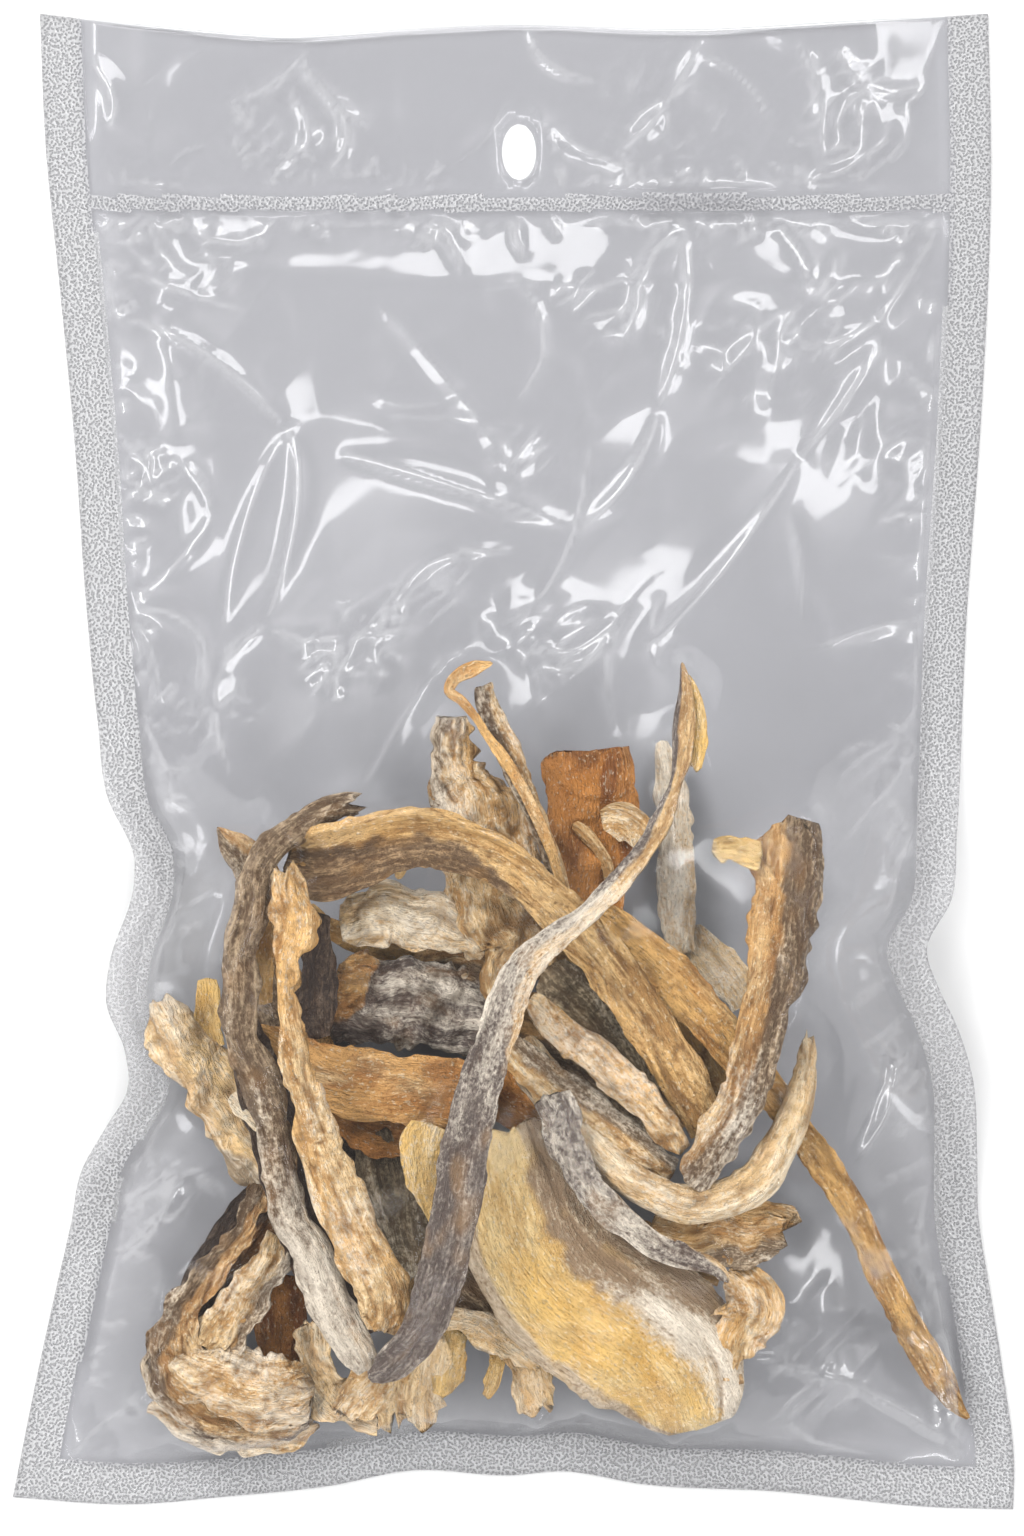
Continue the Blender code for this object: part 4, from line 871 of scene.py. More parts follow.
# The film: how much it mirrors seen straight on, how rough its gloss is, and the pebble grain of its seals
# in metres.
FILM_SHINE = 0.05
FILM_ROUGHNESS = 0.08
SEAL_ROUGHNESS = 0.2
SEAL_GLOSS = 0.55
PEBBLES_PER_METRE = 1700.0
PEBBLE_HEIGHT = 0.0003

# Lamps: direction round the pouch, angle down from overhead, distance, size across and along, brightness.
LAMPS = {
    "key_lamp": (132, 54, 1.2, 0.34, 0.34, 2.8),
    "left_lamp": (172, 40, 1.1, 0.14, 0.50, 1.0),
    "right_lamp": (12, 35, 1.1, 0.14, 0.50, 1.0),
    "header_lamp": (82, 54, 1.1, 0.14, 0.50, 1.0),
    "foot_lamp": (262, 44, 1.1, 0.14, 0.50, 1.0),
    "upper_left_lamp": (128, 31, 1.2, 0.11, 0.42, 1.0),
    "lower_right_lamp": (318, 33, 1.2, 0.11, 0.42, 1.0),
    "upper_right_lamp": (44, 29, 1.2, 0.11, 0.36, 1.0),
    "lower_left_lamp": (222, 34, 1.2, 0.11, 0.42, 1.0),
    "low_right_lamp": (348, 66, 1.2, 0.08, 0.50, 1.2),
    "low_left_lamp": (192, 66, 1.2, 0.08, 0.50, 1.2),
    "low_foot_lamp": (276, 64, 1.2, 0.08, 0.50, 1.2),
}

# Each lamp's soft halo on its cloth: its brightness, and how tightly it gathers round the lamp.
HALO_GLOW = 2.0
HALO_TIGHTNESS = 60.0


def ease(share):
    """0 below 0, 1 above 1, and smooth between."""
    share = np.clip(share, 0.0, 1.0)
    return share * share * (3 - 2 * share)


def through(knots, at):
    """A smooth curve through knots of (place, value), read at the given places."""
    places, values = np.array(knots, float).T
    slopes = np.gradient(values, places)
    low = np.clip(np.searchsorted(places, at) - 1, 0, len(places) - 2)
    span = places[low + 1] - places[low]
    share = np.clip((at - places[low]) / span, 0.0, 1.0)
    rise = values[low + 1] - values[low]
    start, end = slopes[low] * span, slopes[low + 1] * span
    return values[low] + share * start + share**2 * (3 * rise - 2 * start - end) + share**3 * (
        start + end - 2 * rise
    )


def corner_value(ix, iy, iz, seed):
    """An even random number from -1 to 1 for each whole-number corner of a lattice."""
    mixed = (ix * 73856093) ^ (iy * 19349663) ^ (iz * 83492791) ^ (seed * 2654435761)
    mixed = ((mixed ^ (mixed >> 13)) * 1274126177) & 0x7FFFFFFF
    mixed = mixed ^ (mixed >> 16)
    return (mixed & 0xFFFF) / 32767.5 - 1.0


def lattice_noise(x, y, z, seed):
    """Smooth noise from -1 to 1 at each point."""
    x, y, z = np.broadcast_arrays(np.asarray(x, float), np.asarray(y, float), np.asarray(z, float))
    ix, iy, iz = (np.floor(v).astype(np.int64) for v in (x, y, z))
    fx, fy, fz = ease(x - ix), ease(y - iy), ease(z - iz)
    total = np.zeros(x.shape)
    for dx in (0, 1):
        for dy in (0, 1):
            for dz in (0, 1):
                weight = (fx if dx else 1 - fx) * (fy if dy else 1 - fy) * (fz if dz else 1 - fz)
                total += weight * corner_value(ix + dx, iy + dy, iz + dz, seed)
    return total


def layered_noise(x, y, z, seed, layers=3):
    """Noise with finer and weaker layers added."""
    total = np.zeros(np.broadcast(x, y, z).shape)
    for layer in range(layers):
        scale = 2.0**layer
        total += lattice_noise(x * scale, y * scale, z * scale, seed + 17 * layer) / scale
    return total


def deselect_all():
    """Leaves edit mode and selects nothing."""
    if bpy.context.object and bpy.context.object.mode != "OBJECT":
        bpy.ops.object.mode_set(mode="OBJECT")
    bpy.ops.object.select_all(action="DESELECT")


def corners(mesh):
    """The corners of a mesh as an array."""
    flat = np.zeros(len(mesh.vertices) * 3)
    mesh.vertices.foreach_get("co", flat)
    return flat.reshape(-1, 3)


def move_corners(mesh, places):
    """Moves the corners of a mesh, given in millimetres, to their places in metres."""
    mesh.vertices.foreach_set("co", (places * MM).astype(np.float32).ravel())
    mesh.update()


def keep_values(mesh, name, kind, values):
    """Stores one value for each corner, for the material to read."""
    attribute = mesh.attributes.new(name, kind, "POINT")
    field = {"FLOAT": "value", "FLOAT_VECTOR": "vector", "FLOAT_COLOR": "color"}[kind]
    attribute.data.foreach_set(field, np.ascontiguousarray(values, np.float32).ravel())


def along_length(value, share):
    """A number, or numbers evenly spaced along a piece, read at each share of its length."""
    values = np.atleast_1d(np.array(value, float))
    if len(values) == 1:
        return np.full(np.shape(share), values[0])
    return np.interp(share, np.linspace(0, 1, len(values)), values)


def route(points):
    """A fine table of a piece's way: length so far, places, left and right widths, and its directions."""
    rows = np.array([p if len(p) == 5 else (*p, p[3]) for p in points], float)
    nearer = 1 - rows[:, 2] / EYE_Z
    rows[:, 0] = EYE_X + (rows[:, 0] - EYE_X) * nearer
    rows[:, 1] = EYE_Y + (rows[:, 1] - EYE_Y) * nearer
    rows[:, 3:] *= nearer[:, None]
    steps = np.r_[0, np.cumsum(np.linalg.norm(np.diff(rows[:, :3], axis=0), axis=1))]
    fine = np.linspace(0, steps[-1], ROUTE_STEPS)
    table = np.column_stack([through(np.column_stack([steps, rows[:, k]]), fine) for k in range(5)])
    ahead = np.gradient(table[:, :3], fine, axis=0)
    ahead /= np.linalg.norm(ahead, axis=1)[:, None]
    up = np.array([0, 0, 1.0]) - ahead * ahead[:, 2:3]
    up /= np.linalg.norm(up, axis=1)[:, None]
    left = np.cross(up, ahead)
    return fine, table, left, up


def ball_piece(name, around, rings):
    """A ball primitive, each corner's share of the length, and its place across and in depth, -1 to 1."""
    deselect_all()
    bpy.ops.mesh.primitive_uv_sphere_add(segments=around, ring_count=rings, radius=1)
    piece = bpy.context.object
    piece.name = name
    piece.data.name = name
    ball = corners(piece.data)
    angle = np.arctan2(ball[:, 1], ball[:, 0])
    share = np.round(np.arccos(np.clip(ball[:, 2], -1, 1)) / math.pi * rings) / rings
    is_tip = (share < 0.5 / rings) | (share > 1 - 0.5 / rings)
    across = np.sign(np.cos(angle)) * np.abs(np.cos(angle)) ** EDGE_FLATNESS
    depth = -np.sign(np.sin(angle)) * np.abs(np.sin(angle)) ** FACE_FLATNESS
    return piece, share, np.where(is_tip, 0.0, across), np.where(is_tip, 0.0, depth)


def torn_run(share, across, length, widest, torn, seed):
    """How far along each corner lies, with torn ends, where each fibre stops at its own place."""
    still = 0 * across
    run = share * length
    coarse = 0.5 + 0.5 * lattice_noise(across * widest / TOOTH_WIDTH, still, still, seed)
    fine = 0.5 + 0.5 * lattice_noise(across * widest / FINE_TOOTH_WIDTH, still, still, seed + 3)
    teeth = coarse * 0.7 + 0.3 * fine
    run += torn[0] * teeth * (1 - ease(run / max(3 * torn[0], 1)))
    teeth = 0.5 + 0.5 * lattice_noise(across * widest / TOOTH_WIDTH, still + 9, still, seed)
    run -= torn[1] * teeth * (1 - ease((length - run) / max(3 * torn[1], 1)))
    return run


class Surface:
    """Each corner of a piece by its run along it and its offset across it, and noise along the fibres.

    Each noise starts from the piece's seed plus a number of its own, so that no two are alike.
    """

    def __init__(self, across, depth, run, widths, widest, ragged, seed):
        self.across, self.depth, self.run = across, depth, run
        self.widest, self.seed = widest, seed
        self.still = 0 * run
        self.face = np.where(depth >= 0, 0.0, 50.0)
        self.side = np.sign(across) * 40
        nicks = self.along_edge(1.5, 7) * ease(0.6 + self.along_edge(9, 9))
        half = np.where(across > 0, widths[:, 0], widths[:, 1])
        uneven = ragged * (self.along_edge(5.5, 5, layers=2) + 0.7 * nicks)
        self.half = np.maximum(half + uneven * np.abs(across) * np.minimum(1, half / 2.5), 0.15)
        self.offset = across * self.half
        self.warp = 0.9 * self.alike(5, 9, 11)

    def along_edge(self, long, key, layers=1):
        """Noise along each edge."""
        return layered_noise(self.run / long, self.side, self.still, self.seed + key, layers)

    def alike(self, wide, long, key, layers=1):
        """Noise of the given width and length, alike on both faces."""
        return layered_noise(self.offset / wide, self.run / long, self.still, self.seed + key, layers)

    def over(self, wide, long, key, layers=1, warp=0.0, shift=0.0):
        """Noise of the given width and length, its own on each face, bent by a share of the warp."""
        across = self.offset / wide + warp * self.warp
        return layered_noise(across, self.run / long, self.face + shift, self.seed + key, layers)

    def border(self, long, key, layers=1):
        """Noise along a border that runs the length of a face."""
        return layered_noise(self.run / long, self.still, self.face, self.seed + key, layers)


def fish_relief(surface, wrinkle, folds, crumb, groove, pits):
    """Height of creases, folds, crumbs, cleft and pits over the even face, and how deep each cuts."""
    crease = surface.over(1.9, 17, 13, layers=2, warp=1.0)
    fine_crease = surface.over(0.8, 8, 19, warp=1.0)
    deep = np.exp(-((crease / 0.13) ** 2)) + 0.55 * np.exp(-((fine_crease / 0.16) ** 2))
    knots = surface.over(1.2, 1.9, 23)
    relief = wrinkle * (0.6 * crease - 0.8 * deep + 0.45 * knots)
    broad = np.abs(surface.over(0.55 * surface.widest, 26, 71, layers=2, warp=0.25))
    relief += folds * surface.widest * (broad - 0.4)
    if crumb:
        cells = surface.over(2.2, 4.2, 73, layers=2, warp=2.0, shift=9)
        relief += crumb * (np.abs(cells) - 0.35)
        deep = np.maximum(deep, 0.7 * np.exp(-((cells / 0.1) ** 2)))
    if groove:
        middle, drop, width = groove
        cleft = np.exp(-(((surface.across - middle) / width) ** 2)) * (surface.depth > 0)
        relief -= drop * cleft
        deep += 0.7 * cleft
    if pits:
        holes = ease((surface.over(1.5, 2.2, 29, shift=5) - 0.45) / 0.3)
        relief -= pits * holes
        deep += pits * holes
    return relief, deep


def fish_height(surface, at, from_end, relief, thick, curl, rim, wave, ruffle):
    """Height of each corner over the middle line: curl, rim, waves and ruffles, then body and relief."""
    height = along_length(curl, at) * surface.half * surface.across**2
    if rim:
        rise, shares = rim
        height += rise * along_length(shares, at) * np.exp(-(((surface.across - 0.78) / 0.16) ** 2))
    if wave:
        rise, size = wave
        height += rise * surface.alike(size, size, 31, layers=2)
    if ruffle:
        rise, size = ruffle
        height += rise * np.abs(surface.across) ** 1.5 * surface.along_edge(size / 2, 37, layers=2)
    slim = 0.3 + 0.7 * ease(from_end / 4)
    body = 0.5 * thick * slim * (0.85 + 0.3 * surface.alike(6, 7, 41))
    body = np.minimum(body, 0.9 * surface.half + 0.15)
    skin_deep = np.sign(surface.depth) * np.abs(surface.depth) ** 0.5
    return height + surface.depth * body + skin_deep * relief * slim * np.minimum(1, surface.half / 2)


def keep_pattern(mesh, surface, relief, deep, wrinkle):
    """Stores the way along the fibres, how deep a place lies, which sets the painted shade, the streaky
    pattern, lighter on raised relief and at the edges as painted light, and the blotches.
    """
    fibre = np.column_stack([surface.offset, surface.run, surface.face / 5 + surface.seed * 0.37])
    keep_values(mesh, "fibre", "FLOAT_VECTOR", fibre)
    streaks_and_relief_light = surface.over(1.4, 14, 61, layers=3, warp=1.0) / 1.3
    # Painted light: the pattern turns lighter on raised relief and at the edges and darker in sunk relief,
    # and it sets how light the flesh is.
    streaks_and_relief_light = 0.7 * streaks_and_relief_light + 0.55 * relief / (wrinkle + 0.2) + 0.35 * edge_of(surface)
    blotches = surface.over(3.5, 7, 67, layers=2) / 1.2
    pattern = np.column_stack([deep, 0.5 + 0.5 * streaks_and_relief_light, 0.5 + 0.5 * blotches, 0 * deep])
    keep_values(mesh, "pattern", "FLOAT_COLOR", np.clip(pattern, 0, 1))


def keep_tone(mesh, surface, at, skin, dark_edge, amber, salt, salt_on_skin, lump_top_highlight):
    """Stores what covers each place: skin, amber flesh and salt, with a painted highlight whitening the tops
    of the lumps.
    """
    cover = np.zeros(len(at))
    if skin is not None:
        border = along_length(skin[1:], at) + 0.16 * surface.border(4, 47, layers=2)
        cover = ease(0.5 + skin[0] * (border - surface.across) / 0.14)
        cover *= ease((surface.depth + 0.35) / 0.3)
    if dark_edge is not None:
        border = -dark_edge + 0.05 * surface.border(5, 53)
        cover = np.maximum(cover, ease(0.5 + (border - surface.across) / 0.08))
    patchy = 0.3 * surface.over(4, 9, 59, layers=3)
    edge = edge_of(surface)
    amber = along_length(amber, at)
    golden = np.clip(amber + patchy * (0.4 + amber) + 0.2 * edge, 0, 1)
    # Painted highlight: the tops of the lumps are whitened with the salt.
    white = np.maximum(np.clip(along_length(salt, at) + patchy * 0.6, 0, 1), 0.4 * lump_top_highlight)
    if salt_on_skin:
        white *= np.exp(-(((surface.across - along_length(skin[1:], at) - 0.1) / 0.36) ** 2))
    keep_values(mesh, "tone", "FLOAT_COLOR", np.column_stack([cover, golden, white, edge]))


def edge_of(surface):
    """1 at the two edges of a piece, 0 over its faces."""
    return ease((np.abs(surface.across) - 0.8) / 0.2)


def cod_piece(name, look, points, thick, curl=0.0, wrinkle=0.5, crumple=0.0, ragged=0.4, torn=(0, 0),
              seed=1, skin=None, amber=0.0, salt=0.0, roll=0.0, rim=None, wave=None, ruffle=None, pits=0.0,
              lumps=(), dark_edge=None, gloss=None, folds=0.11, groove=None, salt_on_skin=False,
              crumb=0.0):
    """A piece of dried cod: a ball primitive drawn out along its way, its edges torn and its faces creased.

    Several values for one thing are evenly spaced along the piece. thick, wrinkle, crumple, ragged, torn,
    crumb and pits are millimetres, and folds is a share of the width. skin is the side it lies on and its
    borders, from -1 to 1 across. amber and salt are shares. rim is a height and its shares, wave and ruffle
    are a height and a size, groove is a place across, a depth and a width, and roll is degrees.
    """
    fish = bpy.context.scene.cod_fish
    length_so_far, table, left_way, up_way = route(points)
    length = length_so_far[-1]
    widest = table[:, 3:].max()
    rings = int(max(LEAST_RINGS, round(length / fish.grain)))
    around = round(AROUND_SHARE * widest / fish.grain / 4) * 4
    around = int(np.clip(around, LEAST_AROUND, MOST_AROUND))
    piece, share, across, depth = ball_piece(name, around, rings)
    run = torn_run(share, across, length, widest, torn, seed)

    def read(columns):
        return np.column_stack([np.interp(run, length_so_far, column) for column in columns.T])

    middle, left, up = read(table), read(left_way), read(up_way)
    at = run / length
    surface = Surface(across, depth, run, middle[:, 3:], widest, ragged, seed)
    relief, deep = fish_relief(surface, wrinkle, folds, crumb, groove, pits)
    from_end = np.minimum(run, length - run)
    height = fish_height(surface, at, from_end, relief, thick, curl, rim, wave, ruffle)

    turn = np.radians(along_length(roll, at))
    places = middle[:, :3] + left * (surface.offset * np.cos(turn) - height * np.sin(turn))[:, None]
    places += up * (surface.offset * np.sin(turn) + height * np.cos(turn))[:, None]
    if crumple:
        x, y, z = places.T
        for k in range(3):
            size = CRUMPLE_SIZE
            shift = layered_noise(x / size, y / size, z / size, seed + 43 + k, layers=3)
            places[:, k] += crumple * CRUMPLE_SHARES[k] * shift
    lump_foot_shade, lump_top_highlight = np.zeros(len(run)), np.zeros(len(run))
    for lump_x, lump_y, size in lumps:
        away = np.hypot(places[:, 0] - lump_x, places[:, 1] - lump_y) / size
        places[:, 2] += np.where(depth > 0, 0.75 * size * np.sqrt(np.clip(1 - away**2, 0, 1)), 0)
        lump_foot_shade = np.maximum(lump_foot_shade, np.exp(-(((away - 0.95) / 0.18) ** 2)))
        # Painted highlight: the top of each lump is whitened.
        lump_top_highlight = np.maximum(lump_top_highlight, (depth > 0) * ease(1.4 - 1.6 * away))
    places[:, 2] = np.maximum(places[:, 2], LEAST_HEIGHT + 0.2 * surface.over(1, 1, 0))
    move_corners(piece.data, places)

    # Painted shade: how deep a place lies, with a ring at the foot of each lump, darkens its colour.
    deep = np.clip(deep * min(1.0, 1.7 * wrinkle) + 0.8 * lump_foot_shade, 0, 1)
    keep_pattern(piece.data, surface, relief, deep, wrinkle)
    keep_tone(piece.data, surface, at, skin, dark_edge, amber, salt, salt_on_skin, lump_top_highlight)
    piece.data.shade_smooth()
    piece.data.materials.append(cod_material(look, gloss))
    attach(piece, "root")
    return piece


class Tree:
    """The nodes of a material or a world, added by kind with their values and links by socket name."""

    def __init__(self, owner):
        self.owner = owner
        owner.use_nodes = True
        self.nodes = owner.node_tree.nodes
        self.links = owner.node_tree.links
        self.nodes.clear()

    def add(self, kind, values=None, **settings):
        """A node of the kind, with its settings, and a value or a link for each socket given."""
        node = self.nodes.new("ShaderNode" + kind)
        for key, value in settings.items():
            setattr(node, key, value)
        for key, value in (values or {}).items():
            socket = node.inputs[key]
            if isinstance(value, bpy.types.NodeSocket):
                self.links.new(value, socket)
            else:
                socket.default_value = value
        return node

    def math(self, operation, a, b=0.0, c=0.0):
        """The result of one sum."""
        return self.add("Math", {0: a, 1: b, 2: c}, operation=operation).outputs[0]

    def mix(self, share, a, b):
        """A colour between a and b."""
        node = self.add("Mix", {0: share, 6: a, 7: b}, data_type="RGBA", clamp_factor=True)
        return node.outputs[2]

    def blend(self, share, a, b):
        """A number between a and b."""
        return self.add("Mix", {0: share, 2: a, 3: b}, data_type="FLOAT").outputs[0]

    def spread(self, value, low, high):
        """The value's range from low to high drawn out to 0 to 1."""
        ends = {0: value, 1: low, 2: high, 3: 0.0, 4: 1.0}
        return self.add("MapRange", ends, interpolation_type="SMOOTHSTEP").outputs[0]

    def noise(self, way, scale, detail, rough, distortion=0.0):
        """Noise at a place that is scaled first, about 0.5."""
        placed = self.add("Mapping", {"Vector": way, "Scale": scale}).outputs[0]
        return self.add("TexNoise", {
            "Vector": placed, "Scale": 1.0, "Detail": detail, "Roughness": rough, "Distortion": distortion,
        }).outputs["Fac"]


def colour(red, green, blue):
    """A surface's own colour from what the eye sees of it in the studio's light, 0 to 255."""
    seen = zip((red, green, blue), OWN_SHARE)
    linear = np.array([((value / 255 + 0.055) / 1.055) ** 2.4 * share for value, share in seen])
    return (*(linear * min(1.0, 0.92 / linear.max())), 1.0)


def cod_material(look, gloss=None):
    """Dry cod: fibrous flesh with amber parts, painted shade in its creases, cracks and hollows, near-white
    flakes partly painted as highlights, speckled skin, and a bloom of salt.
    """
    name = f"cod_{look}" if gloss is None else f"cod_{look}_glossy"
    if name in bpy.data.materials:
        return bpy.data.materials[name]
    shades = [colour(*shade) for shade in LOOKS[look]]
    flesh_dark, flesh_light, amber_dark, amber_light, skin_dark, skin_light = shades
    t = Tree(bpy.data.materials.new(name))
    fibre = t.add("Attribute", attribute_name="fibre").outputs["Vector"]
    pattern = t.add("Attribute", attribute_name="pattern").outputs["Color"]
    tone = t.add("Attribute", attribute_name="tone").outputs["Color"]
    cover, golden, white = t.add("SeparateColor", {"Color": tone}).outputs
    deep, streaks_and_relief_light, blotches = t.add("SeparateColor", {"Color": pattern}).outputs
    hairs = t.noise(fibre, (1.7, 0.2, 1.0), 2.0, 0.65, 0.4)
    grain = t.noise(fibre, (1.6, 1.0, 1.0), 2.0, 0.7)
    off_middle = t.math("ABSOLUTE", t.math("SUBTRACT", hairs, 0.48))
    cracks = t.math("MULTIPLY", t.spread(off_middle, 0.03, 0.0), t.spread(grain, 0.44, 0.56))

    strands = t.blend(0.5, streaks_and_relief_light, hairs)
    fibrous = t.blend(0.35, strands, grain)
    flesh = t.mix(t.spread(fibrous, 0.36, 0.6), flesh_dark, flesh_light)
    mottled = t.blend(0.5, blotches, t.blend(0.5, hairs, grain))
    amber = t.mix(t.spread(mottled, 0.36, 0.6), amber_dark, amber_light)
    base = t.mix(t.spread(t.math("MULTIPLY_ADD", blotches, 0.7, golden), 0.35, 1.25), flesh, amber)
    # Near-white on the highest grain, where the bump also rises: partly flakes, partly a painted highlight.
    base = t.mix(t.math("MULTIPLY", t.spread(grain, 0.57, 0.7), 0.42), base, colour(*FLAKE_AND_HIGHLIGHT))
    veins = t.blend(0.5, t.blend(0.6, streaks_and_relief_light, hairs), grain)
    hide = t.mix(t.spread(veins, 0.42, 0.66), skin_dark, skin_light)
    hide = t.mix(t.math("MULTIPLY", t.spread(blotches, 0.6, 1.0), 0.4), hide, flesh_dark)
    base = t.mix(cover, base, hide)
    bloom = t.math("MULTIPLY_ADD", grain, 1.1, t.math("MULTIPLY_ADD", streaks_and_relief_light, 0.5, white))
    base = t.mix(t.math("MULTIPLY", t.spread(bloom, 1.0, 1.75), 0.85), base, colour(*SALT_WHITE))
    # Painted shade: the colour darkens in deep creases, in cracks and in the low grain, less on the skin.
    painted_shade = t.math("MAXIMUM", t.math("MULTIPLY", deep, 0.55), t.math("MULTIPLY", cracks, 0.4))
    painted_shade = t.math("MAXIMUM", painted_shade, t.math("MULTIPLY", t.spread(grain, 0.39, 0.3), 0.4))
    painted_shade = t.math("MULTIPLY", painted_shade, t.math("MULTIPLY_ADD", cover, -0.45, 1.0))
    base = t.mix(painted_shade, base, colour(*CREVICE_SHADE))

    bumps = t.math("SUBTRACT", t.blend(0.5, hairs, grain), t.math("MULTIPLY", cracks, 0.12))
    normal = t.add("Bump", {"Height": bumps, "Strength": 1.0, "Distance": 0.0014}).outputs[0]
    rough = t.math("MULTIPLY_ADD", white, 0.25, 0.5)
    shader = t.add("BsdfPrincipled", {
        "Base Color": base, "Roughness": rough if gloss is None else gloss, "Normal": normal, "IOR": 1.42,
    })
    t.add("OutputMaterial", {"Surface": shader.outputs[0]})
    return t.owner


def film_shader(t, tint, haze, roughness, gloss, relief):
    """Clear film: it tints what lies behind it, mirrors the lights, and its haze scatters some light."""
    facing = t.add("LayerWeight", {"Blend": 0.5, **relief}).outputs["Facing"]
    grazing = t.math("POWER", facing, 5.0)
    shine = t.math("MULTIPLY_ADD", grazing, 1 - FILM_SHINE, FILM_SHINE)
    shine = t.math("MULTIPLY", shine, gloss)
    cover = t.math("MULTIPLY_ADD", haze, t.math("SUBTRACT", 1.0, shine), shine)
    metal = t.math("DIVIDE", shine, cover)
    clear = t.add("BsdfTransparent", {"Color": (*tint, 1.0)})
    mirror = t.add("BsdfPrincipled", {
        "Base Color": (0.95, 0.95, 0.96, 1), "Metallic": metal, "Roughness": roughness, **relief,
    })
    mixed = t.add("MixShader", {0: cover, 1: clear.outputs[0], 2: mirror.outputs[0]})
    t.add("OutputMaterial", {"Surface": mixed.outputs[0]})


def film_material(name, tint):
    """Clear film, whitened along its sharp creases, partly as stress whitening and partly as a painted
    highlight along the crease lines, and calmer where it clings to the fish.
    """
    t = Tree(bpy.data.materials.new(name))
    slack = t.add("Attribute", attribute_name="slack").outputs["Fac"]
    crease_whitening_and_highlight = t.add("Attribute", attribute_name="crease_whitening_and_highlight").outputs["Fac"]
    # The haze whitens the sharp creases: stress whitening of the film, and partly a painted highlight along
    # the crease lines.
    haze = t.math("MULTIPLY_ADD", crease_whitening_and_highlight, 0.14, 0.01)
    film_shader(t, tint, haze, FILM_ROUGHNESS, t.math("MULTIPLY_ADD", slack, 0.9, 0.1), {})
    return t.owner


def seal_material(name, tint):
    """Heat-sealed film: pressed with a fine pebble grain, greyer and cloudier than the clear film."""
    t = Tree(bpy.data.materials.new(name))
    here = t.add("TexCoord").outputs["Object"]
    cells = {"Vector": here, "Scale": PEBBLES_PER_METRE}
    pebbles = t.add("TexVoronoi", cells, feature="F1", voronoi_dimensions="2D").outputs["Distance"]
    bumps = {"Height": pebbles, "Strength": 0.7, "Distance": PEBBLE_HEIGHT}
    normal = t.add("Bump", bumps, invert=True).outputs[0]
    haze = t.math("MULTIPLY_ADD", t.spread(pebbles, 0.1, 0.6), 0.3, 0.03)
    film_shader(t, tint, haze, SEAL_ROUGHNESS, SEAL_GLOSS, {"Normal": normal})
    return t.owner


def plan(across, along):
    """x and y of the film at shares of its width and length, fitted between its four edges."""
    left_y = LEFT_EDGE[0][0] + along * (LEFT_EDGE[-1][0] - LEFT_EDGE[0][0])
    right_y = RIGHT_EDGE[0][0] + along * (RIGHT_EDGE[-1][0] - RIGHT_EDGE[0][0])
    bottom_x = BOTTOM_EDGE[0][0] + across * (BOTTOM_EDGE[-1][0] - BOTTOM_EDGE[0][0])
    top_x = TOP_EDGE[0][0] + across * (TOP_EDGE[-1][0] - TOP_EDGE[0][0])
    left_x, right_x = through(LEFT_EDGE, left_y), through(RIGHT_EDGE, right_y)
    bottom_y, top_y = through(BOTTOM_EDGE, bottom_x), through(TOP_EDGE, top_x)
    x = (1 - across) * left_x + across * right_x + (1 - along) * bottom_x + along * top_x
    y = (1 - across) * left_y + across * right_y + (1 - along) * bottom_y + along * top_y
    x -= (1 - across) * ((1 - along) * LEFT_EDGE[0][1] + along * LEFT_EDGE[-1][1])
    x -= across * ((1 - along) * RIGHT_EDGE[0][1] + along * RIGHT_EDGE[-1][1])
    y -= (1 - across) * ((1 - along) * BOTTOM_EDGE[0][1] + along * TOP_EDGE[0][1])
    y -= across * ((1 - along) * BOTTOM_EDGE[-1][1] + along * TOP_EDGE[-1][1])
    return x, y


def back_height(y, from_side):
    """z of the back film: on the table, and curling up to the side seals beside the heap."""
    lift = EDGE_LIFT * np.exp(-(((y - EDGE_LIFT_Y) / EDGE_LIFT_SPAN) ** 2))
    return np.maximum(lift * (1 - ease(from_side / BACK_CURL_WIDTH)) - 0.4, 0.0)


class Film:
    """The film as a grid of corners, with where each lies on the flat film."""

    def __init__(self, across, along):
        shares = np.linspace(0, 1, across + 1), np.linspace(0, 1, along + 1)
        self.s, self.t = np.meshgrid(*shares, indexing="ij")
        self.x, self.y = plan(self.s, self.t)
        self.from_side = np.minimum(self.s, 1 - self.s) * WIDTH
        self.from_seal = np.minimum(self.from_side, self.t * LENGTH) - SEAL_WIDTH
        self.from_line = np.abs(self.y - SEAL_LINE_Y) - SEAL_LINE_WIDTH / 2
        self.back = back_height(self.y, self.from_side)
        across_hole = (self.x - HOLE_CENTRE[0]) / HOLE_SIZE[0]
        along_hole = (self.y - HOLE_CENTRE[1]) / HOLE_SIZE[1]
        self.from_hole = (np.hypot(across_hole, along_hole) * 2 - HOLE_RIM) * HOLE_SIZE[1] / 2
        self.locked = (self.from_seal < 0.01) | (self.from_line < 0) | (self.from_hole < 0)
        nearest = np.minimum(np.minimum(self.from_seal, self.from_line), self.from_hole)
        self.open_run = np.maximum(nearest, 0)

    def heap(self, raster):
        """Height of the strips under each corner."""
        i = np.clip(np.round(self.x + RASTER_MIDDLE[0]).astype(int), 0, RASTER_SIZE[0] - 1)
        j = np.clip(np.round(self.y + RASTER_MIDDLE[1]).astype(int), 0, RASTER_SIZE[1] - 1)
        return raster[i, j]


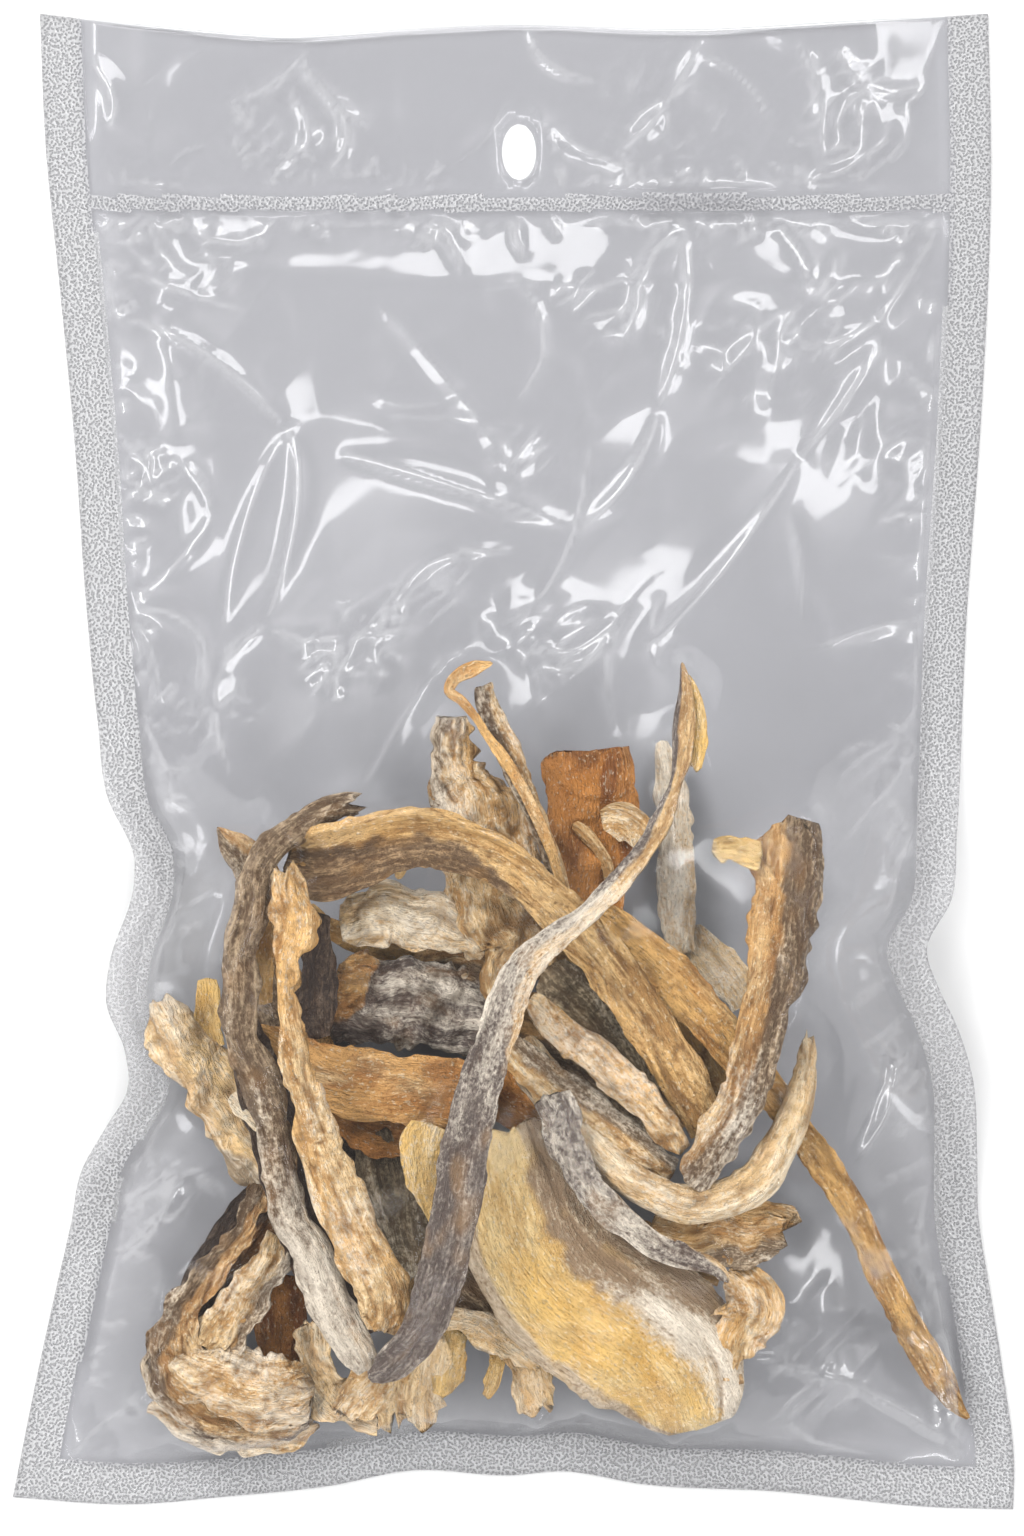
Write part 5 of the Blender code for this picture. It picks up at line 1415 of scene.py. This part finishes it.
def heap_raster(pieces):
    """The highest point of the strips over each square millimetre, spread by one square."""
    raster = np.zeros(RASTER_SIZE)
    for piece in pieces:
        x, y, z = corners(piece.data).T / MM
        i = np.round(x + RASTER_MIDDLE[0]).astype(int)
        j = np.round(y + RASTER_MIDDLE[1]).astype(int)
        np.maximum.at(raster, (i, j), z)
    wide = raster.copy()
    for di in (-1, 0, 1):
        for dj in (-1, 0, 1):
            wide = np.maximum(wide, np.roll(raster, (di, dj), (0, 1)))
    return wide


def fold_height(x, y, half_width):
    """Height of the broad folds: each is a straight ridge that falls away evenly."""
    height = np.zeros_like(x)
    for (x0, y0), (x1, y1), rise in FOLDS:
        run = np.array([x1 - x0, y1 - y0], float)
        share = np.clip(((x - x0) * run[0] + (y - y0) * run[1]) / (run @ run), 0, 1)
        away = np.hypot(x - x0 - share * run[0], y - y0 - share * run[1])
        height = np.maximum(height, rise * (1 - away / half_width))
    return height


def add_crease(height, x, y, way, rise, half_width):
    """Adds one sharp crease to a field of heights, steep on one side and gentle on the other."""
    start, middle, end = (np.array(p, float) for p in way)
    reach = GENTLE_SIDE * half_width
    low = np.minimum(np.minimum(start, middle), end) - reach
    high = np.maximum(np.maximum(start, middle), end) + reach
    near = (x > low[0]) & (x < high[0]) & (y > low[1]) & (y < high[1])
    if not near.any():
        return
    px, py = x[near], y[near]
    share = np.linspace(0, 1, 25)[:, None]
    bend = 2 * middle - (start + end) / 2
    line = (1 - share) ** 2 * start + 2 * share * (1 - share) * bend + share**2 * end
    best = np.full(px.shape, 1e9)
    along = np.zeros(px.shape)
    gentle = np.zeros(px.shape, bool)
    for k in range(len(line) - 1):
        run = line[k + 1] - line[k]
        away_x, away_y = px - line[k, 0], py - line[k, 1]
        part = np.clip((away_x * run[0] + away_y * run[1]) / max(run @ run, 1e-9), 0, 1)
        away = np.hypot(away_x - part * run[0], away_y - part * run[1])
        closer = away < best
        along = np.where(closer, (k + part) / (len(line) - 1), along)
        gentle = np.where(closer, run[0] * away_y > run[1] * away_x, gentle)
        best = np.minimum(best, away)
    swell = np.sin(math.pi * along)
    width = half_width * np.where(gentle, GENTLE_SIDE, STEEP_SIDE) * (0.65 + 0.35 * swell)
    out = np.minimum(best / width, 1)
    height[near] += rise * swell**0.7 * np.clip(1.1 - np.sqrt(out**2 + 0.01), 0, 1) ** 3


def crumpled(x, y, size, seed):
    """Flat facets with sharp edges, -1 to 1 high: each square of a warped grid is two triangles."""
    warp = [0.45 * lattice_noise(x / (1.7 * size), y / (1.7 * size), 0 * x, seed + k) for k in (1, 2)]
    u, v = x / size + warp[0], y / size + warp[1]
    i, j = np.floor(u).astype(np.int64), np.floor(v).astype(np.int64)
    across, along = u - i, v - j
    near, far = corner_value(i, j, 0 * i, seed), corner_value(i + 1, j + 1, 0 * i, seed)
    right, up = corner_value(i + 1, j, 0 * i, seed), corner_value(i, j + 1, 0 * i, seed)
    lower = near + across * (right - near) + along * (far - right)
    upper = near + along * (up - near) + across * (far - up)
    return np.where(across > along, lower, upper)


def facet_height(x, y):
    """Facets all over the loose film, and small ones in the patches of crinkles."""
    height = sum(size * share * crumpled(x, y, size, int(size)) for size, share in FACETS)
    crinkled = np.zeros_like(x)
    for (cx, cy), radius, rise in CRINKLES:
        crinkled = np.maximum(crinkled, rise * np.exp(-((np.hypot(x - cx, y - cy) / radius) ** 4)))
    return height + CRINKLE_SHARE * crinkled * crumpled(x, y, CRINKLE_SIZE, 29)


def random_creases(rng):
    """Small creases: along the seals, and scattered over the loose film."""
    creases = []

    def short_crease(x, y, turn, length, rise, half_width):
        run = length / 2 * np.array([math.cos(turn), math.sin(turn)])
        bow = length * rng.uniform(-0.25, 0.25) * np.array([-math.sin(turn), math.cos(turn)])
        middle = np.array([x, y])
        creases.append(((middle - run, middle + bow, middle + run), rise, half_width))

    for x in np.arange(-84, 84, SEAL_LINE_CREASE_STEP):
        for up in (-1, 1):
            length = rng.uniform(2.5, 9)
            y = SEAL_LINE_Y + up * (SEAL_LINE_WIDTH / 2 + length / 2)
            short_crease(x + rng.uniform(-1.5, 1.5), y, math.pi / 2 + rng.uniform(-0.7, 0.7), length,
                         rng.uniform(0.1, 0.5), rng.uniform(1.0, 1.9))
    for y in np.arange(-136, 108, SIDE_CREASE_STEP):
        for edge, inwards in ((LEFT_EDGE, 1), (RIGHT_EDGE, -1)):
            length = rng.uniform(4, 13)
            x = through(edge, np.array([y]))[0] + inwards * (SEAL_WIDTH + length / 2)
            short_crease(x, y + rng.uniform(-2, 2), rng.uniform(-0.6, 0.6), length, rng.uniform(0.1, 0.55),
                         rng.uniform(1.2, 2.4))
    for _ in range(LOOSE_CREASES):
        x, y, turn = rng.uniform(-84, 88), rng.uniform(-138, 142), rng.uniform(0, math.pi)
        short_crease(x, y, turn, rng.uniform(12, 40), rng.uniform(-0.6, 0.6), rng.uniform(1.6, 3.2))
    return creases


def relax(z, least, locked, steps):
    """A tight skin: each corner sinks to the mean of its neighbours, but not below the least height."""
    for _ in range(steps):
        mean = z.copy()
        mean[1:-1, 1:-1] = (z[:-2, 1:-1] + z[2:, 1:-1] + z[1:-1, :-2] + z[1:-1, 2:]) / 4
        mean[1:-1, -1] = (z[:-2, -1] + z[2:, -1] + 2 * z[1:-1, -2]) / 4
        z = np.where(locked, least, np.maximum(least, mean))
    return z


def finer(field):
    """A grid field with a new corner between each two, on a smooth curve through its neighbours."""
    for axis in (0, 1):
        field = np.moveaxis(field, axis, 0)
        padded = np.concatenate([2 * field[:1] - field[1:2], field, 2 * field[-1:] - field[-2:-1]])
        between = (-padded[:-3] + 9 * padded[1:-2] + 9 * padded[2:-1] - padded[3:]) / 16
        doubled = np.zeros((2 * len(field) - 1, *field.shape[1:]))
        doubled[::2], doubled[1::2] = field, between
        field = np.moveaxis(doubled, 0, axis)
    return field


def front_film(raster, crease_share):
    """The front film over the strips, as a fine grid of corners, and how slack it is at each."""
    coarse = Film(*COARSE_GRID)
    floor = coarse.back + SEAL_THICKNESS
    heap = coarse.heap(raster)
    puff = np.where(coarse.y > SEAL_LINE_Y, HEADER_PUFF, BODY_PUFF) * ease(coarse.open_run / PUFF_RUN)
    folded = fold_height(coarse.x, coarse.y, FOLD_HALF_WIDTH) * ease(coarse.open_run / FOLD_RUN)
    clear_of_heap = 1 - ease((heap - PUFF_TO) / (FLAT_FROM - PUFF_TO))
    least = np.maximum(floor + (puff + folded) * clear_of_heap, heap + FILM_GAP)
    least = np.where(coarse.locked, floor, least)
    tight = relax(least.copy(), least, coarse.locked, SMOOTHINGS)
    height = finer(finer(tight))
    film = Film(*(4 * COARSE_GRID))
    floor = film.back + SEAL_THICKNESS
    cling = ease((film.heap(raster) - CLING_FROM) / (CLING_TO - CLING_FROM))
    for _ in range(CLING_SMOOTHINGS):
        cling[1:-1, 1:-1] = (cling[:-2, 1:-1] + cling[2:, 1:-1] + cling[1:-1, :-2] + cling[1:-1, 2:]) / 4
    slack = ease(film.open_run / SLACK_RUN) * (1 - cling)
    sharp = np.zeros_like(height)
    for way, rise, half_width in (*CREASES, *random_creases(np.random.default_rng(CREASE_SEED))):
        add_crease(sharp, film.x, film.y, way, rise, half_width)
    height = height + (sharp + facet_height(film.x, film.y)) * slack * crease_share
    height = np.maximum(height, floor + 0.3 * ease(film.open_run / SLACK_RUN))
    height = np.where(film.locked, floor, height)
    curve = np.zeros(slack.shape)
    across, along = height[:-2, 1:-1] + height[2:, 1:-1], height[1:-1, :-2] + height[1:-1, 2:]
    curve[1:-1, 1:-1] = np.abs(across + along - 4 * height[1:-1, 1:-1])
    return film, np.dstack([film.x, film.y, height]), slack, ease(curve / 0.5) * slack


def back_film(front):
    """The back film as a coarser grid of corners: on the table, with shallow folds that rise from it."""
    film = Film(*(2 * COARSE_GRID))
    folds = 0.6 - np.abs(layered_noise(film.x / 19, film.y / 19, 0 * film.x, 91, 2))
    height = film.back + 1.3 * np.clip(folds, 0, 1) * ease(film.open_run / 8)
    height = np.where(film.locked, film.back, np.minimum(height, front[::2, ::2, 2] - 0.2))
    return film, np.dstack([film.x, film.y, height])


def film_sheet(name, film, places, materials, sealed_index, face_up):
    """One sheet of the film: a grid primitive laid through the given corners, the hang hole cut out."""
    columns, rows = film.s.shape[0] - 1, film.s.shape[1] - 1
    deselect_all()
    bpy.ops.mesh.primitive_grid_add(x_subdivisions=columns, y_subdivisions=rows, size=2)
    sheet = bpy.context.object
    sheet.name = name
    flat = corners(sheet.data)
    i = np.round((flat[:, 0] + 1) / 2 * columns).astype(int)
    j = np.round((flat[:, 1] + 1) / 2 * rows).astype(int)
    spots = places[i, j].copy()
    away = (spots[:, :2] - HOLE_CENTRE) / (np.array(HOLE_SIZE) / 2)
    in_hole = np.hypot(*away.T) < 1
    for material in materials:
        sheet.data.materials.append(material)
    corner_lists = np.zeros(len(sheet.data.polygons) * 4, int)
    sheet.data.polygons.foreach_get("vertices", corner_lists)
    corner_lists = corner_lists.reshape(-1, 4)
    x, y, z = spots[corner_lists].mean(axis=1).T
    side = np.minimum(x - through(LEFT_EDGE, y), through(RIGHT_EDGE, y) - x)
    sealed = (side < SEAL_WIDTH) | (y - through(BOTTOM_EDGE, x) < SEAL_WIDTH)
    sealed |= face_up & (np.abs(y - SEAL_LINE_Y) < SEAL_LINE_WIDTH / 2)
    sheet.data.polygons.foreach_set("material_index", np.where(sealed, sealed_index, 0 if face_up else 2))
    gone = in_hole[corner_lists].any(axis=1)
    rim = np.zeros(len(spots), bool)
    rim[corner_lists[gone].ravel()] = True
    rim &= ~in_hole
    snapped = away / np.hypot(*away.T)[:, None] * (np.array(HOLE_SIZE) / 2) + HOLE_CENTRE
    spots[rim, :2] = snapped[rim]
    move_corners(sheet.data, spots)
    sheet.data.vertices.foreach_set("select", in_hole)
    sheet.data.edges.foreach_set("select", np.zeros(len(sheet.data.edges), bool))
    sheet.data.polygons.foreach_set("select", gone)
    bpy.ops.object.mode_set(mode="EDIT")
    bpy.ops.mesh.select_mode(type="FACE")
    bpy.ops.mesh.delete(type="FACE")
    if not face_up:
        bpy.ops.mesh.select_all(action="SELECT")
        bpy.ops.mesh.flip_normals()
    bpy.ops.object.mode_set(mode="OBJECT")
    return sheet, i, j, in_hole


def bridge_rims(pouch, chosen):
    """Joins the open edges of the two sheets whose corners are chosen."""
    mesh = pouch.data
    bpy.ops.object.mode_set(mode="EDIT")
    bpy.ops.mesh.select_mode(type="EDGE")
    bpy.ops.mesh.select_all(action="DESELECT")
    bpy.ops.mesh.select_non_manifold(
        extend=False, use_wire=False, use_multi_face=False, use_non_contiguous=False, use_verts=False)
    bpy.ops.object.mode_set(mode="OBJECT")
    places = corners(mesh) / MM
    near_hole = np.hypot(places[:, 0] - HOLE_CENTRE[0], places[:, 1] - HOLE_CENTRE[1]) < NEAR_HOLE
    wanted = near_hole if chosen == "hole" else ~near_hole
    for edge in mesh.edges:
        if edge.select and not wanted[edge.vertices[0]]:
            edge.select = False
    mesh.vertices.foreach_set("select", np.zeros(len(mesh.vertices), bool))
    mesh.polygons.foreach_set("select", np.zeros(len(mesh.polygons), bool))
    bpy.ops.object.mode_set(mode="EDIT")
    bpy.ops.mesh.select_mode(type="EDGE")
    bpy.ops.mesh.bridge_edge_loops()
    bpy.ops.object.mode_set(mode="OBJECT")


class StageSettings(bpy.types.PropertyGroup):
    """Sizes and colours of the studio."""

    lens: bpy.props.FloatProperty(
        name="Lens", description="Focal length of the camera in millimetres", default=135.0, min=1.0)
    floor_tint: bpy.props.FloatVectorProperty(
        name="Floor", description="Colour of the floor", subtype="COLOR", default=(0.85, 0.85, 0.85))
    lamp_glow: bpy.props.FloatProperty(
        name="Lamp glow", description="Brightness of the strip lamps", default=7.0, min=0.0)
    sky_glow: bpy.props.FloatProperty(
        name="Sky glow", description="Brightness of the even light", default=0.13, min=0.0)


class FilmSettings(bpy.types.PropertyGroup):
    """Sizes and colours of the film."""

    front_tint: bpy.props.FloatVectorProperty(
        name="Front film", description="What the front film lets through", subtype="COLOR",
        default=(0.97, 0.97, 0.975))
    back_tint: bpy.props.FloatVectorProperty(
        name="Back film", description="What the back film lets through", subtype="COLOR",
        default=(0.665, 0.665, 0.682))
    seal_tint: bpy.props.FloatVectorProperty(
        name="Seal", description="What one layer of sealed film lets through", subtype="COLOR",
        default=(0.735, 0.735, 0.742))
    crease_share: bpy.props.FloatProperty(
        name="Creases", description="Height of the creases and facets, as a share of their own",
        default=1.0, min=0.0)


class FishSettings(bpy.types.PropertyGroup):
    """Sizes of the fish."""

    grain: bpy.props.FloatProperty(
        name="Grain", description="Distance between the corners of a piece in millimetres", default=0.52,
        min=0.1)


class PiecesOperator:
    """What the operators that make pieces of fish share."""

    bl_options = {"REGISTER", "UNDO"}
    pieces = {}

    def execute(self, context):
        for name, shape in self.pieces.items():
            cod_piece(name, **shape)
        return {"FINISHED"}


class COD_OT_long_strips(PiecesOperator, bpy.types.Operator):
    """Makes the long strips on top of the heap"""

    bl_idname = "cod.long_strips"
    bl_label = "Long strips"
    pieces = LONG_STRIPS


class COD_OT_broad_pieces(PiecesOperator, bpy.types.Operator):
    """Makes the slab and the folded and crumpled pieces"""

    bl_idname = "cod.broad_pieces"
    bl_label = "Broad pieces"
    pieces = BROAD_PIECES


class COD_OT_small_pieces(PiecesOperator, bpy.types.Operator):
    """Makes the tabs, frills and small pieces"""

    bl_idname = "cod.small_pieces"
    bl_label = "Small pieces"
    pieces = SMALL_PIECES


class COD_OT_under_pieces(PiecesOperator, bpy.types.Operator):
    """Makes the pieces under the heap, which show in its gaps and from the side"""

    bl_idname = "cod.under_pieces"
    bl_label = "Pieces under the heap"
    pieces = UNDER_PIECES


class COD_OT_film(bpy.types.Operator):
    """Makes the clear film over the strips, with its seals and its hang hole"""

    bl_idname = "cod.film"
    bl_label = "Film"

    def execute(self, context):
        settings = context.scene.cod_film
        names = (*LONG_STRIPS, *BROAD_PIECES, *SMALL_PIECES, *UNDER_PIECES)
        raster = heap_raster([bpy.data.objects[n] for n in names if n in bpy.data.objects])
        film, places, slack, crease_whitening_and_highlight = front_film(raster, settings.crease_share)
        materials = (
            film_material("clear_film", settings.front_tint),
            seal_material("heat_seal", settings.seal_tint),
            film_material("back_film", settings.back_tint),
        )
        front, i, j, gone = film_sheet("film", film, places, materials, 1, True)
        keep_values(front.data, "slack", "FLOAT", slack[i, j][~gone])
        keep_values(front.data, "crease_whitening_and_highlight", "FLOAT", crease_whitening_and_highlight[i, j][~gone])
        film, places = back_film(places)
        back, i, j, gone = film_sheet("back_film", film, places, materials, 1, False)
        keep_values(back.data, "slack", "FLOAT", ease(film.from_seal[i, j] / 8)[~gone])
        keep_values(back.data, "crease_whitening_and_highlight", "FLOAT", 0 * film.x[i, j][~gone])
        front.select_set(True)
        back.select_set(True)
        bpy.context.view_layer.objects.active = front
        bpy.ops.object.join()
        bridge_rims(front, "outline")
        bridge_rims(front, "hole")
        front.data.shade_smooth()
        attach(front, "root")
        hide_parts("clear_pouch")
        return {"FINISHED"}


class COD_OT_stage(bpy.types.Operator):
    """Makes the camera, the floor and the lamps"""

    bl_idname = "cod.stage"
    bl_label = "Stage"

    def execute(self, context):
        scene, settings = context.scene, context.scene.cod_stage
        scene.view_settings.view_transform = "Standard"
        scene.cycles.max_bounces = 3
        scene.cycles.diffuse_bounces = 1
        scene.cycles.glossy_bounces = 1
        scene.cycles.transparent_max_bounces = 8
        bpy.ops.object.camera_add(location=(EYE_X * MM, EYE_Y * MM, EYE_Z * MM), rotation=(0, 0, 0))
        camera = bpy.context.object
        camera.data.lens = settings.lens
        camera.data.sensor_width = SENSOR_LONG_SIDE
        camera.data.clip_end = FARTHEST_SEEN
        scene.camera = camera
        deselect_all()
        bpy.ops.mesh.primitive_plane_add(size=FLOOR_SIZE, location=(0, 0, FLOOR_Z))
        floor = bpy.context.object
        floor.name = "floor"
        floor.data.materials.append(floor_material(settings.floor_tint))
        scene.world = studio_sky(settings.sky_glow)
        for name, (turn, tilt, away, wide, long, glow) in LAMPS.items():
            around, down = math.radians(turn), math.radians(tilt)
            spot = (
                away * math.sin(down) * math.cos(around), away * math.sin(down) * math.sin(around),
                away * math.cos(down),
            )
            bpy.ops.object.light_add(type="AREA", location=spot, rotation=(0, down, around))
            lamp = bpy.context.object
            lamp.name = name
            lamp.data.shape = "RECTANGLE"
            lamp.data.size, lamp.data.size_y = wide, long
            lamp.data.energy = settings.lamp_glow * glow * wide * long * math.pi
            lamp.visible_glossy = name != "key_lamp"
        return {"FINISHED"}


def studio_sky(glow):
    """An even pale sky that brightens softly round each strip lamp."""
    t = Tree(bpy.data.worlds.new("studio"))
    way = t.add("TexCoord").outputs["Generated"]
    light = glow
    for turn, tilt, *_ in LAMPS.values():
        around, down = math.radians(turn), math.radians(tilt)
        axis = (math.sin(down) * math.cos(around), math.sin(down) * math.sin(around), math.cos(down))
        facing = t.add("VectorMath", {0: way, 1: axis}, operation="DOT_PRODUCT").outputs["Value"]
        halo = t.math("POWER", t.math("MAXIMUM", facing, 0.0), HALO_TIGHTNESS)
        light = t.math("MULTIPLY_ADD", halo, HALO_GLOW, light)
    shader = t.add("Background", {"Color": (1.0, 1.0, 1.0, 1.0), "Strength": light})
    t.add("OutputWorld", {"Surface": shader.outputs[0]})
    return t.owner


def floor_material(tint):
    """A pale floor, a little uneven."""
    t = Tree(bpy.data.materials.new("pale_floor"))
    here = t.add("TexCoord").outputs["Object"]
    soft = t.add("TexNoise", {"Vector": here, "Scale": 3.0, "Detail": 2.0}).outputs["Fac"]
    lighter = tuple(min(1.0, share * 1.01) for share in tint)
    shade = t.mix(t.spread(soft, 0.3, 0.7), (*tint, 1.0), (*lighter, 1.0))
    shader = t.add("BsdfPrincipled", {"Base Color": shade, "Roughness": 0.9})
    t.add("OutputMaterial", {"Surface": shader.outputs[0]})
    return t.owner


class COD_PT_panel(bpy.types.Panel):
    """Lists the steps that build the pouch"""

    bl_idname = "COD_PT_panel"
    bl_label = "Cod pouch"
    bl_space_type = "VIEW_3D"
    bl_region_type = "UI"
    bl_category = "Cod pouch"

    def draw(self, context):
        for settings in (context.scene.cod_fish, context.scene.cod_film, context.scene.cod_stage):
            for key in settings.__annotations__:
                self.layout.prop(settings, key)
        for step in STEPS:
            self.layout.operator(step.bl_idname)


STEPS = (
    COD_OT_stage, COD_OT_long_strips, COD_OT_broad_pieces, COD_OT_small_pieces, COD_OT_under_pieces,
    COD_OT_film,
)
SETTINGS = {"cod_stage": StageSettings, "cod_film": FilmSettings, "cod_fish": FishSettings}


def register():
    """Adds the settings, the steps and the panel to Blender."""
    for made in (*SETTINGS.values(), *STEPS, COD_PT_panel):
        bpy.utils.register_class(made)
    for name, made in SETTINGS.items():
        setattr(bpy.types.Scene, name, bpy.props.PointerProperty(type=made))


def unregister():
    """Takes them out again."""
    for name in SETTINGS:
        delattr(bpy.types.Scene, name)
    for made in reversed((*SETTINGS.values(), *STEPS, COD_PT_panel)):
        bpy.utils.unregister_class(made)


def main():
    """Builds the stage and the pouch."""
    register()
    bpy.ops.cod.stage()
    bpy.ops.cod.long_strips()
    bpy.ops.cod.broad_pieces()
    bpy.ops.cod.small_pieces()
    bpy.ops.cod.under_pieces()
    bpy.ops.cod.film()


if __name__ == "__main__":
    main()
